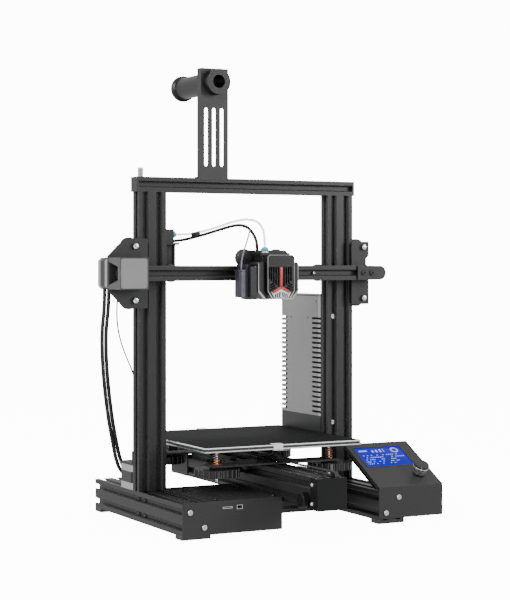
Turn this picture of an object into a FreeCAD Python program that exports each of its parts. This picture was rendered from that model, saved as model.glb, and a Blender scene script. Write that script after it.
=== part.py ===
"""A desktop filament printer with a moving bed, built as separate pieces.

The machine stands on the floor plane. X runs across it, Y from front to back
and Z up. The pieces are laid out from a datum midway between the two uprights,
in their front face, on the floor; the written files put the origin at the
middle of the whole machine's footprint.
"""
import FreeCAD, Part
import math
import os
import re

import Sketcher

V = FreeCAD.Vector
Turn = FreeCAD.Rotation

# Driving sizes in millimetres (angles in degrees): name and value.
SIZES = [
    # frame
    ("foot_height", 5), ("foot_depth", 20), ("rail_size", 40), ("beam_size", 20),
    ("rail_gap", 250), ("rail_length", 290), ("rail_front", 136),
    ("upright_height", 400), ("seat_depth", 5), ("crossbeam_back", 22),
    ("y_rail_front", 208.5), ("y_rail_length", 364.5), ("beam_cap", 3),
    ("slot_mouth", 9.2), ("slot_neck", 6.2), ("slot_bevel", 1.5), ("slot_lip", 1.8),
    ("slot_room", 11.6), ("slot_floor", 7), ("slot_depth", 6), ("end_bore", 2.1),
    ("thread_radius", 2.5), ("thread_depth", 15),
    # wheels
    ("wheel_radius", 12), ("wheel_width", 10.2), ("tread_width", 5.8),
    ("axle_radius", 2.5), ("running_fit", 0.05), ("wheel_gap", 0.3), ("free_gap", 0.4),
    # screws
    ("screw_head", 3.6), ("screw_head_height", 2.4), ("screw_socket", 1.5), ("screw_shank", 2),
    ("end_screw_reach", 10), ("hole_play", 0.2),
    # motors
    ("motor_size", 42.3), ("motor_corner", 4.6), ("motor_cap", 9), ("motor_boss", 11),
    ("motor_boss_height", 2), ("motor_length", 33), ("motor_gap", 0.85),
    # bed
    ("bed_size", 235), ("bed_centre_x", 3.3), ("bed_front", 98.5), ("bed_underside", 103),
    ("heater_thickness", 3), ("surface_thickness", 4), ("bed_hole_spacing", 170),
    ("carriage_thickness", 2.5), ("carriage_gap", 0.8), ("carriage_half_width", 44),
    ("carriage_core", 140), ("carriage_length", 188), ("bed_reach", 181), ("belt_notch", 14),
    ("window_width", 18), ("window_left", 22.5), ("window_right", 16), ("clamp_width", 12),
    ("clamp_height", 6),
    ("y_wheel_spacing", 64), ("knurl_radius", 30), ("knurl_height", 10.5), ("spring_radius", 5),
    # gantry
    ("gantry_height", 336), ("gantry_plate", 3), ("plate_gap", 8.4), ("x_beam_left", 166),
    ("left_plate_edge", 214), ("left_plate_shoulder", 190), ("plate_inside", 157),
    ("left_plate_low", 22), ("left_plate_high", 23), ("left_plate_rise", 46.2), ("wheel_room", 5.7),
    ("x_beam_length", 346), ("screw_x", 144.5), ("shelf_height", 38.5), ("nut_radius", 11),
    ("screw_radius", 4), ("screw_end", 15), ("x_motor_x", 192.5), ("idler_x", 190),
    ("feeder_gap", 3.95), ("feeder_y", 62.3),
    ("pulley_radius", 4.6), ("belt_thickness", 1.4), ("belt_width", 6),
    ("cover_front", 34), ("cover_wall", 1.6), ("cover_height", 42), ("cover_back", 213.6),
    ("cover_shoulder", 205.8), ("cover_inside", 165.6),
    # tool head
    ("head_x", 5.5), ("head_plate", 3), ("head_gap", 1.6), ("x_wheel_spacing", 50),
    ("nozzle_x", -3), ("nozzle_y", 52), ("nozzle_tip", 300), ("shroud_front", 80),
    ("shroud_width", 60), ("grille_width", 41), ("shroud_low", 301), ("shroud_wall", 1.6),
    # control box, display and power supply
    ("sheet", 1.5), ("box_front", 137), ("box_width", 102), ("box_floor", 6), ("box_top", 47),
    ("panel_length", 104.8), ("panel_angle", 28), ("display_left", 124.5), ("display_width", 101),
    ("display_low", 7), ("display_edge", 49.2), ("screen_width", 75), ("screen_height", 46),
    ("screen_left", 8), ("screen_low", 48), ("knob_inset", 24), ("knob_up", 25.5),
    ("supply_left", 124.5), ("supply_width", 30), ("supply_depth", 116), ("supply_front", 20.4),
    ("supply_low", 90), ("supply_height", 215), ("terminal_height", 42),
    ("vent_low", 4.1), ("vent_pitch", 7), ("vent_height", 3), ("vent_rear", 17.6), ("vent_front", 25),
    ("vent_wrap", 6.5), ("inlet_front", 70), ("inlet_low", 9), ("inlet_width", 27.6),
    ("inlet_height", 24), ("inlet_depth", 15), ("switch_front", 40), ("switch_low", 11.4),
    ("lid_inset", 9), ("lid_front", 8), ("lid_width", 84), ("lid_depth", 100),
    # spool holder
    ("spool_x", 52), ("spool_rise", 131), ("spool_radius", 15), ("spool_bore", 9),
    ("spool_reach", 106), ("spool_neck", 12), ("holder_left", 73.4), ("holder_width", 41),
    ("holder_rise", 149.6), ("holder_sheet", 2.5), ("holder_slot", 6), ("holder_slot_gap", 5.85),
    ("holder_slot_low", 19), ("holder_slot_high", 93),
    # where the middle of the whole footprint lies from the datum
    ("middle_x", 5.5), ("middle_y", -8.5),
]

# Places worked out from the sizes: name and expression.
PLACES = [
    ("rail_top", "foot_height + rail_size"),
    ("rail_inner", "rail_gap / 2"),
    ("rail_mid", "rail_gap / 2 + rail_size / 2"),
    ("rail_outer", "rail_gap / 2 + rail_size"),
    ("rail_back", "rail_length - rail_front"),
    ("upright_top", "rail_top + upright_height"),
    ("frame_top", "upright_top + beam_size"),
    ("y_rail_low", "rail_top - seat_depth"),
    ("y_rail_top", "y_rail_low + rail_size"),
    ("y_rail_back", "y_rail_length - y_rail_front"),
    ("wheel_reach", "wheel_radius - (slot_mouth - tread_width) / 2 + wheel_gap * sqrt(2)"),
    ("carriage_low", "y_rail_top + carriage_gap"),
    ("carriage_top", "carriage_low + carriage_thickness"),
    ("bed_centre_y", "bed_size / 2 - bed_front"),
    ("bed_top", "bed_underside + heater_thickness + surface_thickness"),
    ("plate_front", "plate_gap + gantry_plate"),
    ("beam_front", "plate_front + beam_size"),
    ("beam_mid_y", "-(plate_front + beam_size / 2)"),
    ("belt_outer", "pulley_radius + belt_thickness"),
    ("y_belt_x", "rail_size / 4"),
    ("y_belt_z", "y_rail_top - slot_depth + 0.2 + belt_outer"),
    ("y_motor_y", "y_rail_back + 34"),
    ("idler_y", "-(y_rail_front + 9)"),
    ("head_back", "beam_front + head_gap"),
    ("head_front", "head_back + head_plate"),
    ("supply_split", "supply_low + terminal_height"),
    ("supply_back", "supply_front + supply_depth"),
    ("supply_right", "supply_left + supply_width"),
    ("knob_x", "display_width - knob_inset"),
    ("screw_y", "beam_size + motor_gap + motor_size / 2"),
    ("screw_top", "frame_top + screw_end"),
    ("feeder_x", "screw_x - screw_radius - feeder_gap - motor_size / 2"),
    ("z_wheel_spacing", "motor_size + 2 * wheel_radius + wheel_room"),
    ("spool_z", "frame_top + spool_rise"),
    ("holder_top", "frame_top + holder_rise"),
    ("clamp_front", "idler_y + belt_outer + bed_reach + 3.5"),
    ("screw_base", "rail_top + motor_length + 3.5"),
]

VENT_ROWS = 20
GROOVES = 20
ARC_SHARE = 0.45

doc = FreeCAD.newDocument("filament_printer")
OWNERS = {}
SUB_PARTS = []


def write_sizes():
    """Put the driving sizes in a sheet and the worked-out places beside it."""
    sheet = doc.addObject("Spreadsheet::Sheet", "sizes")
    for row, (name, value) in enumerate(SIZES, start=1):
        sheet.set(f"A{row}", name)
        sheet.set(f"B{row}", str(value))
        sheet.setAlias(f"B{row}", name)
        OWNERS[name] = "sizes." + name
    places = doc.addObject("App::VarSet", "places")
    for name, expression in PLACES:
        places.addProperty("App::PropertyFloat", name)
        places.setExpression(name, words(expression))
        OWNERS[name] = "places." + name
    doc.recompute()
    return sheet, places


def words(expression):
    """Give every size or place named in an expression the object that owns it."""
    return re.sub(r"[a-z][a-z0-9_]*", lambda found: OWNERS.get(found.group(0), found.group(0)),
                  str(expression))


def keep(label, thing):
    """Name a finished sub-part, which also names its file."""
    thing.Label = label
    SUB_PARTS.append(thing)
    return thing


# ---------------------------------------------------------------- building blocks

LIE_ALONG = {
    "x": Turn(V(0, 1, 0), 90), "-x": Turn(V(0, 1, 0), -90),
    "y": Turn(V(1, 0, 0), -90), "-y": Turn(V(1, 0, 0), 90),
    "z": Turn(), "-z": Turn(V(1, 0, 0), 180),
}


def stand(thing, x=0, y=0, z=0, turn=None):
    """Place a thing by three expressions and a fixed turn."""
    if turn is not None:
        thing.Placement = FreeCAD.Placement(V(), turn)
    for axis, expression in zip("xyz", (x, y, z)):
        thing.setExpression("Placement.Base." + axis, words(expression))
    return thing


def box(x, y, z, length, width, height):
    """A block with one corner at x, y, z."""
    block = doc.addObject("Part::Box", "block")
    block.setExpression("Length", words(length))
    block.setExpression("Width", words(width))
    block.setExpression("Height", words(height))
    return stand(block, x, y, z)


def rod(x, y, z, radius, length, along="z"):
    """A round bar that starts at x, y, z and runs along one axis."""
    bar = doc.addObject("Part::Cylinder", "bar")
    bar.setExpression("Radius", words(radius))
    bar.setExpression("Height", words(length))
    return stand(bar, x, y, z, LIE_ALONG[along])


def fuse(*pieces):
    joined = doc.addObject("Part::MultiFuse", "joined")
    joined.Shapes = list(pieces)
    return joined


def group(*pieces):
    """Separate solids held under one name."""
    held = doc.addObject("Part::Compound", "set_of_pieces")
    held.Links = list(pieces)
    return held


def cut(base, *tools):
    carved = doc.addObject("Part::Cut", "carved")
    carved.Base = base
    carved.Tool = tools[0] if len(tools) == 1 else fuse(*tools)
    return carved


def ring(x, y, z, outer, inner, length, along="z"):
    return cut(rod(x, y, z, outer, length, along), rod(x, y, z, inner, length, along))


def origin_plane(body, role):
    return [item for item in body.Origin.OriginFeatures if item.Role == role][0]


def sketch_in(body, role, name):
    sketch = body.newObject("Sketcher::SketchObject", name)
    sketch.AttachmentSupport = [(origin_plane(body, role), "")]
    sketch.MapMode = "FlatFace"
    return sketch


def draw_outline(sketch, corners):
    """Draw a closed outline whose corners are pairs of expressions."""
    count = len(corners)
    first = len(sketch.Geometry)
    seeds = [V(10 * math.cos(math.tau * i / count), 10 * math.sin(math.tau * i / count), 0)
             for i in range(count)]
    sketch.addGeometry([Part.LineSegment(seeds[i], seeds[(i + 1) % count]) for i in range(count)])
    rules = [Sketcher.Constraint("Coincident", first + i, 2, first + (i + 1) % count, 1)
             for i in range(count)]
    for i, seed in enumerate(seeds):
        rules.append(Sketcher.Constraint("DistanceX", -1, 1, first + i, 1, seed.x))
        rules.append(Sketcher.Constraint("DistanceY", -1, 1, first + i, 1, seed.y))
    start = len(sketch.Constraints) + count
    sketch.addConstraint(rules)
    for i, (across, up) in enumerate(corners):
        sketch.setExpression(f"Constraints[{start + 2 * i}]", words(across))
        sketch.setExpression(f"Constraints[{start + 2 * i + 1}]", words(up))


def draw_circle(sketch, across, up, radius):
    """Draw a circle by its centre and radius, all expressions."""
    index = len(sketch.Geometry)
    start = len(sketch.Constraints)
    sketch.addGeometry(Part.Circle(V(index, 1, 0), V(0, 0, 1), 1))
    sketch.addConstraint([Sketcher.Constraint("DistanceX", -1, 1, index, 3, index),
                          Sketcher.Constraint("DistanceY", -1, 1, index, 3, 1),
                          Sketcher.Constraint("Radius", index, 1)])
    for offset, expression in enumerate((across, up, radius)):
        sketch.setExpression(f"Constraints[{start + offset}]", words(expression))


def sheet_piece(plane, corners, thickness, holes=(), flip=False):
    """A flat piece padded from an outline on one of its body's planes."""
    body = doc.addObject("PartDesign::Body", "sheet_body")
    sketch = sketch_in(body, plane + "_Plane", "outline")
    draw_outline(sketch, corners)
    for hole in holes:
        draw_circle(sketch, *hole)
    pad = body.newObject("PartDesign::Pad", "thickness")
    pad.Profile = sketch
    pad.setExpression("Length", words(thickness))
    pad.Reversed = flip
    return body


def turned(corners):
    """A round piece turned about Z from pairs of radius and height."""
    body = doc.addObject("PartDesign::Body", "turned_body")
    sketch = sketch_in(body, "XZ_Plane", "half_section")
    draw_outline(sketch, corners)
    lathe = body.newObject("PartDesign::Revolution", "lathe")
    lathe.Profile = sketch
    lathe.ReferenceAxis = (sketch, ["V_Axis"])
    lathe.Angle = 360
    return body


def rectangle(left, low, right, high):
    return [(left, low), (right, low), (right, high), (left, high)]


# ---------------------------------------------------------------- shared pieces

def extrusion(cells_x, cells_y, cell, length):
    """A V-slot aluminium bar standing on its end, built from square cells."""
    body = doc.addObject("PartDesign::Body", "extrusion")
    half_x = f"({cell}) * {cells_x} / 2"
    half_y = f"({cell}) * {cells_y} / 2"
    sketch = sketch_in(body, "XY_Plane", "section")
    draw_outline(sketch, rectangle("-" + half_x, "-" + half_y, half_x, half_y))
    for column in range(cells_x):
        for row in range(cells_y):
            draw_circle(sketch, f"({cell}) * {column - (cells_x - 1) / 2}",
                        f"({cell}) * {row - (cells_y - 1) / 2}", "end_bore")
    bar = body.newObject("PartDesign::Pad", "bar")
    bar.Profile = sketch
    bar.setExpression("Length", words(length))
    faces = ((0, half_y, cells_x), (90, half_x, cells_y), (180, half_y, cells_x), (270, half_x, cells_y))
    for angle, reach, cells in faces:
        for place in range(cells):
            middle = f"({cell}) * {place - (cells - 1) / 2}"
            slot_cut(body, angle, middle, reach)
    return body


def slot_cut(body, angle, middle, reach):
    """One V slot with its T-shaped room, cut along the whole bar."""
    half = [("slot_mouth", "-1"), ("slot_mouth", "0"), ("slot_neck", "slot_bevel"),
            ("slot_neck", "slot_lip"), ("slot_room", "slot_lip"),
            ("slot_room", "slot_depth - (slot_room - slot_floor) / 2"), ("slot_floor", "slot_depth")]
    right = [(f"{middle} + {width} / 2", f"{reach} - ({depth})") for width, depth in half]
    left = [(f"{middle} - {width} / 2", f"{reach} - ({depth})") for width, depth in reversed(half)]
    sketch = sketch_in(body, "XY_Plane", "slot_outline")
    sketch.AttachmentOffset = FreeCAD.Placement(V(), Turn(V(0, 0, 1), angle))
    draw_outline(sketch, right + left)
    pocket = body.newObject("PartDesign::Pocket", "slot")
    pocket.Profile = sketch
    pocket.Type = "ThroughAll"
    pocket.Midplane = True


def screw(x, y, z, along, shank="0"):
    """A socket-head screw whose head stands out along the given way from its seat."""
    corners = [("0", "0"), ("screw_head", "0"), ("screw_head", "screw_head_height * 0.7"),
               ("screw_head * 0.8", "screw_head_height"), ("screw_socket", "screw_head_height"),
               ("screw_socket", "screw_head_height * 0.4"), ("0", "screw_head_height * 0.4")]
    if shank != "0":
        corners = [("0", f"-({shank})"), ("screw_shank", f"-({shank})"), ("screw_shank", "0")] + corners[1:]
    return stand(turned(corners), x, y, z, LIE_ALONG[along])


def wheel(label, x, y, z, along="z"):
    """A V wheel with its bore running on an axle, centred on its place."""
    shoulder = "wheel_radius - (wheel_width - tread_width) / 2"
    half = "wheel_width / 2"
    corners = [("axle_radius + running_fit", f"-{half}"), ("4", f"-{half}"), ("4", f"-{half} + 0.6"),
               ("7.6", f"-{half} + 0.6"), ("7.6", f"-{half}"), (shoulder, f"-{half}"),
               ("wheel_radius", "-tread_width / 2"), ("wheel_radius", "tread_width / 2"),
               (shoulder, half), ("7.6", half), ("7.6", f"{half} - 0.6"), ("4", f"{half} - 0.6"),
               ("4", half), ("axle_radius + running_fit", half)]
    return keep(label, stand(turned(corners), x, y, z, LIE_ALONG[along]))


def axle(x, y, z, along, plate, spacer):
    """A wheel's axle screw: head on the plate, spacer, shaft and nut past the wheel."""
    reach = f"({spacer}) + wheel_width"
    corners = [("0", f"-({plate}) - 3"), ("4.2", f"-({plate}) - 3"), ("4.2", f"-({plate})"),
               ("axle_radius", f"-({plate})"), ("axle_radius", "0"), ("4", "0"),
               ("4", f"({spacer}) - free_gap"), ("axle_radius", f"({spacer}) - free_gap"),
               ("axle_radius", f"{reach} + free_gap"), ("4.2", f"{reach} + free_gap"),
               ("4.2", f"{reach} + free_gap + 4"), ("0", f"{reach} + free_gap + 4")]
    return stand(turned(corners), x, y, z, LIE_ALONG[along])


def motor(x, y, z, along, shaft, length="motor_length"):
    """A square stepper: two metal caps, the core between them, and the shaft."""
    half = "motor_size / 2"
    near = "(motor_size / 2 - motor_corner)"
    octagon = [(half, "-" + near), (half, near), (near, half), ("-" + near, half),
               ("-" + half, near), ("-" + half, "-" + near), ("-" + near, "-" + half), (near, "-" + half)]
    front = fuse(stand(sheet_piece("XY", octagon, "motor_cap"), 0, 0, "-motor_cap"),
                 rod(0, 0, 0, "motor_boss", "motor_boss_height"))
    core = stand(sheet_piece("XY", octagon, f"{length} - 2 * motor_cap"), 0, 0, f"motor_cap - {length}")
    back = stand(sheet_piece("XY", octagon, "motor_cap"), 0, 0, f"-({length})")
    pin = rod(0, 0, "motor_boss_height", "axle_radius", f"{shaft} - motor_boss_height")
    return stand(group(front, core, back, pin), x, y, z, LIE_ALONG[along])


def motor_seat(x, y, z, thickness, along):
    """The cutter for a motor's boss in the plate that it is bolted to."""
    return rod(x, y, z, "motor_boss + 0.3", thickness, along)


def belt_loop(start, finish, level, side, width, upright_plane):
    """A flat belt round two equal pulleys; the plane is 'XZ' or 'YZ'."""
    def stadium(radius):
        run = f"({finish}) - ({start})"
        if upright_plane == "XZ":
            return fuse(box(start, side, f"{level} - ({radius})", run, width, f"2 * ({radius})"),
                        rod(start, side, level, radius, width, "y"), rod(finish, side, level, radius, width, "y"))
        return fuse(box(side, start, f"{level} - ({radius})", width, run, f"2 * ({radius})"),
                    rod(side, start, level, radius, width, "x"), rod(side, finish, level, radius, width, "x"))
    return cut(stadium("belt_outer"), stadium("pulley_radius"))


def pulley():
    """A toothed drive pulley turned about Z, centred on its belt."""
    half = "(belt_width / 2 + 0.4)"
    hub = "pulley_radius + 2.2"
    return turned([("axle_radius + running_fit", f"-{half} - 5"), (hub, f"-{half} - 5"), (hub, f"-{half}"),
                   ("pulley_radius - wheel_gap", f"-{half}"), ("pulley_radius - wheel_gap", half),
                   (hub, half), (hub, f"{half} + 1"), ("axle_radius + running_fit", f"{half} + 1")])


# ---------------------------------------------------------------- frame

def build_base_frame():
    rails = []
    for side in (-1, 1):
        rail = stand(extrusion(2, 2, "rail_size / 2", "rail_length"), f"{side} * rail_mid", "-rail_front",
                     "foot_height + rail_size / 2", LIE_ALONG["y"])
        holes = [rod(f"{side} * (rail_outer + 1)", y, z, "screw_head + wheel_gap", "slot_depth + 3",
                     "x" if side < 0 else "-x") for y, z in corner_screws()]
        threads = [rod(f"{side} * rail_mid + {dx} * rail_size / 4", "rail_back",
                       f"foot_height + rail_size / 2 + {dz} * rail_size / 4", "thread_radius", "thread_depth", "-y")
                   for dx in (-1, 1) for dz in (-1, 1)]
        rails.append(cut(rail, *holes, *threads))
    beam = stand(extrusion(2, 2, "rail_size / 2", "rail_gap"), "-rail_inner", "crossbeam_back - rail_size / 2",
                 "foot_height + rail_size / 2", LIE_ALONG["x"])
    seat = box("-rail_size / 2", "crossbeam_back - rail_size - 1", "y_rail_low", "rail_size",
               "rail_size + 2", "seat_depth + 1")
    keep("base_frame", group(rails[0], rails[1], cut(beam, seat)))


def corner_screws():
    """Y and Z of the four screws that hold each base rail to the cross rail."""
    middle_y, middle_z = "crossbeam_back - rail_size / 2", "foot_height + rail_size / 2"
    return [(f"{middle_y} + {dy} * rail_size / 4", f"{middle_z} + {dz} * rail_size / 4")
            for dy in (-1, 1) for dz in (-1, 1)]


def end_screws(side):
    """X and Z of the two screws in one base rail's front end."""
    return [(f"{side} * (rail_mid + rail_size / 4)", "foot_height + 3 * rail_size / 4"),
            (f"{side} * (rail_mid - rail_size / 4)", "foot_height + rail_size / 4")]


def lid_screws():
    """X and Y of the control box lid's four corner screws."""
    return [(f"lid_inset - rail_inner + {a} * lid_width", f"lid_front - box_front + {b} * lid_depth")
            for a in (0, 1) for b in (0, 1)]


def build_y_rail():
    keep("y_rail", stand(extrusion(2, 2, "rail_size / 2", "y_rail_length"), 0, "-y_rail_front",
                         "y_rail_low + rail_size / 2", LIE_ALONG["y"]))


def build_upper_frame():
    uprights = [stand(extrusion(2, 1, "beam_size", "upright_height"), f"{side} * rail_mid", "beam_size / 2",
                      "rail_top") for side in (-1, 1)]
    beam = stand(extrusion(1, 1, "beam_size", "2 * rail_outer"), "-rail_outer", "beam_size / 2",
                 "upright_top + beam_size / 2", LIE_ALONG["x"])
    keep("upper_frame", group(*uprights, beam))


def build_feet_and_caps():
    feet = [box(f"{side} * rail_mid - rail_size / 2", where, 0, "rail_size", "foot_depth", "foot_height")
            for side in (-1, 1) for where in ("-rail_front", "rail_back - foot_depth")]
    caps = [box(where, 0, "upright_top", "beam_cap", "beam_size", "beam_size")
            for where in ("-rail_outer - beam_cap", "rail_outer")]
    keep("feet_and_caps", group(*feet, *caps))


def build_frame_screws():
    front = "-(box_front + sheet)"
    screws = []
    for x, z in end_screws(-1) + end_screws(1):
        screws.append(screw(x, front, z, "-y", "end_screw_reach"))
    for side, along in ((-1, "-x"), (1, "x")):
        for y, z in corner_screws():
            screws.append(screw(f"{side} * (rail_outer - slot_depth)", y, z, along))
    for z in ("supply_low + 34.6", "supply_low + 184.3"):
        screws.append(screw("rail_mid - rail_size / 4", "slot_depth", z, "-y"))
    for side in (-1, 1):
        screws.append(screw(f"{side} * (rail_mid)", "beam_size / 2", "frame_top - slot_depth", "z"))
    for x, y in lid_screws():
        screws.append(screw(x, y, "box_top", "z", "5"))
    for x in (8, 33):
        screws.append(screw(f"-holder_left + {x}", "beam_size / 2 + 1", "frame_top + holder_sheet", "z"))
    keep("frame_screws", group(*screws))


def build_control_box():
    """The sheet tray under the bed with its front plate, and the lid that closes it."""
    left, right = "-rail_outer", "-rail_inner + box_width"
    plate = box(left, "-box_front - sheet", "foot_height", f"{right} + rail_outer", "sheet", "box_top - foot_height")
    tab = box(left, "-box_front - sheet", 0.4, "rail_size - 1", "sheet", "foot_height")
    depth = "box_front + crossbeam_back - rail_size - 0.5"
    shell = box("-rail_inner + 0.5", "-box_front", "box_floor", "box_width - 0.5", depth, "box_top - sheet - box_floor")
    room = box("-rail_inner + 0.5 + sheet", "-box_front", "box_floor + sheet", "box_width - 0.5 - 2 * sheet",
               f"{depth} - sheet", "box_top")
    holes = [rod(x, "-box_front - 5", z, "screw_shank + hole_play", 10, "y") for x, z in end_screws(-1)]
    card_slot = box("-109", "-box_front - 5", 36.8, 14, 10, 2.6)
    usb_slot = box("-89", "-box_front - 5", 35.2, 8.4, 10, 5.6)
    vents = [box(f"-rail_inner + 24 + {4 * i}", "-box_front + 30", "box_floor - 1", 2, 60, 5) for i in range(14)]
    keep("control_tray", cut(fuse(plate, tab, shell), room, *holes, card_slot, usb_slot, *vents))
    lid = box("-rail_inner + 0.5", "-box_front", "box_top - sheet", "box_width - 0.5", depth, "sheet")
    screws = [rod(x, y, "box_top - 5", "screw_shank + hole_play", 10) for x, y in lid_screws()]
    slits = [box(f"-rail_inner + 30 + {5 * i}", "-box_front + 40", "box_top - 3", 2, 36, 6) for i in range(9)]
    keep("control_lid", cut(lid, *screws, *slits))


def build_circuit_boards():
    """The control board in its tray, and the display's board behind its panel."""
    low = "box_floor + sheet"
    floor = box("-rail_inner + 6", "-box_front + 6", f"{low} + 4", 88, 84, 1.6)
    posts = [rod(f"-rail_inner + {x}", f"-box_front + {y}", low, 2.5, 4) for x in (10, 90) for y in (10, 86)]
    drivers = [box(f"-rail_inner + {14 + 16 * i}", "-box_front + 62", f"{low} + 5.6", 9, 9, 8) for i in range(4)]
    chip = box("-rail_inner + 40", "-box_front + 34", f"{low} + 5.6", 12, 12, 2)
    terminals = box("-rail_inner + 78", "-box_front + 30", f"{low} + 5.6", 10, 40, 11)
    card = box("-rail_inner + 13", "-box_front + 6.5", f"{low} + 5.6", 18, 16, 20)
    board = box("display_width / 2 - 46", 20, -13, 92, 78, 1.6)
    module = box("screen_left - 0.5", "screen_low - 4", -11.4, "screen_width + 9", "screen_height + 8", 7)
    encoder = box("knob_x - 6", "knob_up - 5.5", -11.4, 12, 11, 7)
    display = stand(group(board, module, encoder), "display_left", "-box_front - sheet", "display_edge",
                    Turn(V(1, 0, 0), PANEL_TILT))
    keep("circuit_boards", group(floor, *posts, *drivers, chip, terminals, card, display))


def build_display():
    """The bent sheet housing with its sloping panel, and the screen set in it."""
    front, top = "-box_front - sheet", "display_edge"
    plate = box("display_left", front, "display_low", "display_width", "sheet", f"{top} - display_low")
    holes = [rod(x, "-box_front - 5", z, "screw_shank + hole_play", 10, "y") for x, z in end_screws(1)]
    # the panel in its own frame: X across, Y up the slope, Z out of it
    skin = box(0, 0, "-sheet", "display_width", "panel_length", "sheet")
    flanges = [box(x, 3, -5, "sheet", "panel_length - 3", 5) for x in ("0", "display_width - sheet")]
    lip = box(0, "panel_length - sheet", -9, "display_width", "sheet", 9)
    window = box("screen_left", "screen_low", -5, "screen_width", "screen_height", 10)
    hole = rod("knob_x", "knob_up", -5, 4, 10)
    panel = stand(cut(fuse(skin, *flanges, lip), window, hole), "display_left", front, top,
                  Turn(V(1, 0, 0), PANEL_TILT))
    keep("lcd_housing", group(fuse(cut(plate, *holes), panel), placed_screen()))


def placed_screen():
    """The screen, held in the panel's window."""
    glass = box("screen_left + wheel_gap / 2", "screen_low + wheel_gap / 2", -4.2, "screen_width - wheel_gap",
                "screen_height - wheel_gap", 3.6)
    return stand(group(glass), "display_left", "-box_front - sheet", "display_edge", Turn(V(1, 0, 0), PANEL_TILT))


def build_power_supply():
    """The vented case behind the right upright, and the cover over its terminals."""
    case = box("supply_left", "supply_front", "supply_split", "supply_width", "supply_depth",
               "supply_height - terminal_height")
    room = box("supply_left + sheet", "supply_front + sheet", "supply_split + sheet", "supply_width - 2 * sheet",
               "supply_depth - 2 * sheet", "supply_height - terminal_height - 2 * sheet")
    slots = []
    for row in range(VENT_ROWS):
        low = f"supply_split + vent_low + {row} * vent_pitch"
        for start, along_y, along_x in (("supply_front - 1", "vent_front + 1", "2 * sheet + 1"),
                                        ("supply_front - 1", "2 * sheet + 1", "vent_wrap + 1"),
                                        ("supply_back - vent_rear", "vent_rear + 1", "2 * sheet + 1"),
                                        ("supply_back - 2 * sheet", "2 * sheet + 1", "vent_wrap + 1")):
            slots.append(box("supply_left - 1", start, low, along_x, along_y, "vent_height"))
    for inset, drop in ((103, 10), (79, 33.4), (29.6, 34)):
        slots.append(rod("supply_left - 1", f"supply_back - {inset}",
                         f"supply_low + supply_height - {drop}", 1.4, 4, "x"))
    keep("psu_case", cut(case, room, *slots))
    back = "supply_right"
    block = box("supply_left", "supply_front", "supply_low", "supply_width + 1.5", "supply_depth", "terminal_height")
    inside = box("supply_left + 2", "supply_front + 2", "supply_low + 2", "supply_width - 2.5", "supply_depth - 4",
                 "terminal_height")
    near, low = "supply_front + inlet_front", "supply_low + inlet_low"
    beside, under = "supply_front + switch_front", "supply_low + switch_low"
    socket_hole = box(f"{back} - 4", near, low, 10, "inlet_width", "inlet_height")
    switch_hole = box(f"{back} - 4", beside, under, 10, 13.6, 19.2)
    inlet = cut(box(f"{back} - inlet_depth", near, low, "inlet_depth + 2.5", "inlet_width", "inlet_height"),
                box(f"{back} - inlet_depth + 2", f"{near} + 2", f"{low} + 3.5", 20, "inlet_width - 4",
                    "inlet_height - 7"))
    pins = [box(f"{back} - inlet_depth + 2", f"{near} + inlet_width / 2 + {dy} - 1", f"{low} + 10 + {dz}",
                12, 2, 4)
            for dy, dz in ((-7, -2), (0, 2), (7, -2))]
    frame = cut(box(f"{back} - 8", beside, under, 10.5, 13.6, 19.2),
                box(f"{back} - 6.5", f"{beside} + 1.4", f"{under} + 1.4", 12, 10.8, 16.4))
    pivot = rod(back, f"{beside} + 1.4", f"{under} + 9.6", 1, 10.8, "y")
    keep("psu_cover", group(cut(block, inside, socket_hole, switch_hole), fuse(inlet, *pins), fuse(frame, pivot)))
    rocker = cut(box(f"{back} - 3", f"{beside} + 1.9", f"{under} + 2.2", 6.5, 9.8, 14.8),
                 rod(back, f"{beside} + 1", f"{under} + 9.6", "1 + running_fit", 12, "y"),
                 rod(f"{back} + 12", f"{beside} + 1", f"{under} + 9.6", 9.4, 12, "y"))
    keep("psu_switch", rocker)


def build_y_tensioner():
    """The cap on the Y rail's front end with its idler, and the two clamp fasteners."""
    low, high = "y_rail_low - 1", "y_rail_top - 0.5"
    housing = box("-rail_size / 2 - 1", "-y_rail_front - 20", low, "rail_size + 2", 20, f"{high} - ({low})")
    well = box("y_belt_x - 5", "-y_rail_front - 17", "y_belt_z - 10", 10, 20, 20)
    pin = idler_pin()
    idler = ring("y_belt_x - 3.4", "idler_y", "y_belt_z", "pulley_radius - 0.3", "axle_radius - 0.95", 6.8, "x")
    lock = stand(turned([("0", "0"), ("4", "0"), ("4", "1"), ("10", "1"), ("10", "8"), ("8.6", "9"), ("0", "9")]),
                 "-rail_size / 2", "-y_rail_front + 12", "y_rail_top - 30", LIE_ALONG["-x"])
    bolt = screw("-rail_size / 2 + slot_depth", "-y_rail_front + 6", "y_rail_top - 10", "-x")
    keep("y_tensioner", group(cut(housing, well, pin), idler_pin(), idler, knurled(lock), bolt))


def idler_pin():
    return rod("y_belt_x - 6", "idler_y", "y_belt_z", "axle_radius - 1", 12, "x")


def knurled(lock):
    """Shallow grooves round the clamp knob's rim."""
    grooves = []
    for index in range(16):
        turn = math.tau * index / 16
        y, z = round(10.4 * math.cos(turn), 4), round(10.4 * math.sin(turn), 4)
        grooves.append(rod("-rail_size / 2 - 12", f"-y_rail_front + 12 + {y}", f"y_rail_top - 30 + {z}",
                           1.1, 11.5, "x"))
    return cut(lock, *grooves)


def build_frame_motors():
    """The bed's motor behind its rail and the lift motor beside the left upright."""
    y_motor = motor("-rail_size / 2 - 1", "y_motor_y", "y_belt_z", "x", "y_belt_x + rail_size / 2 + 6")
    z_motor = motor("-screw_x", "screw_y", "rail_top + motor_length", "z", 20)
    keep("frame_motors", group(y_motor, z_motor))


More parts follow.
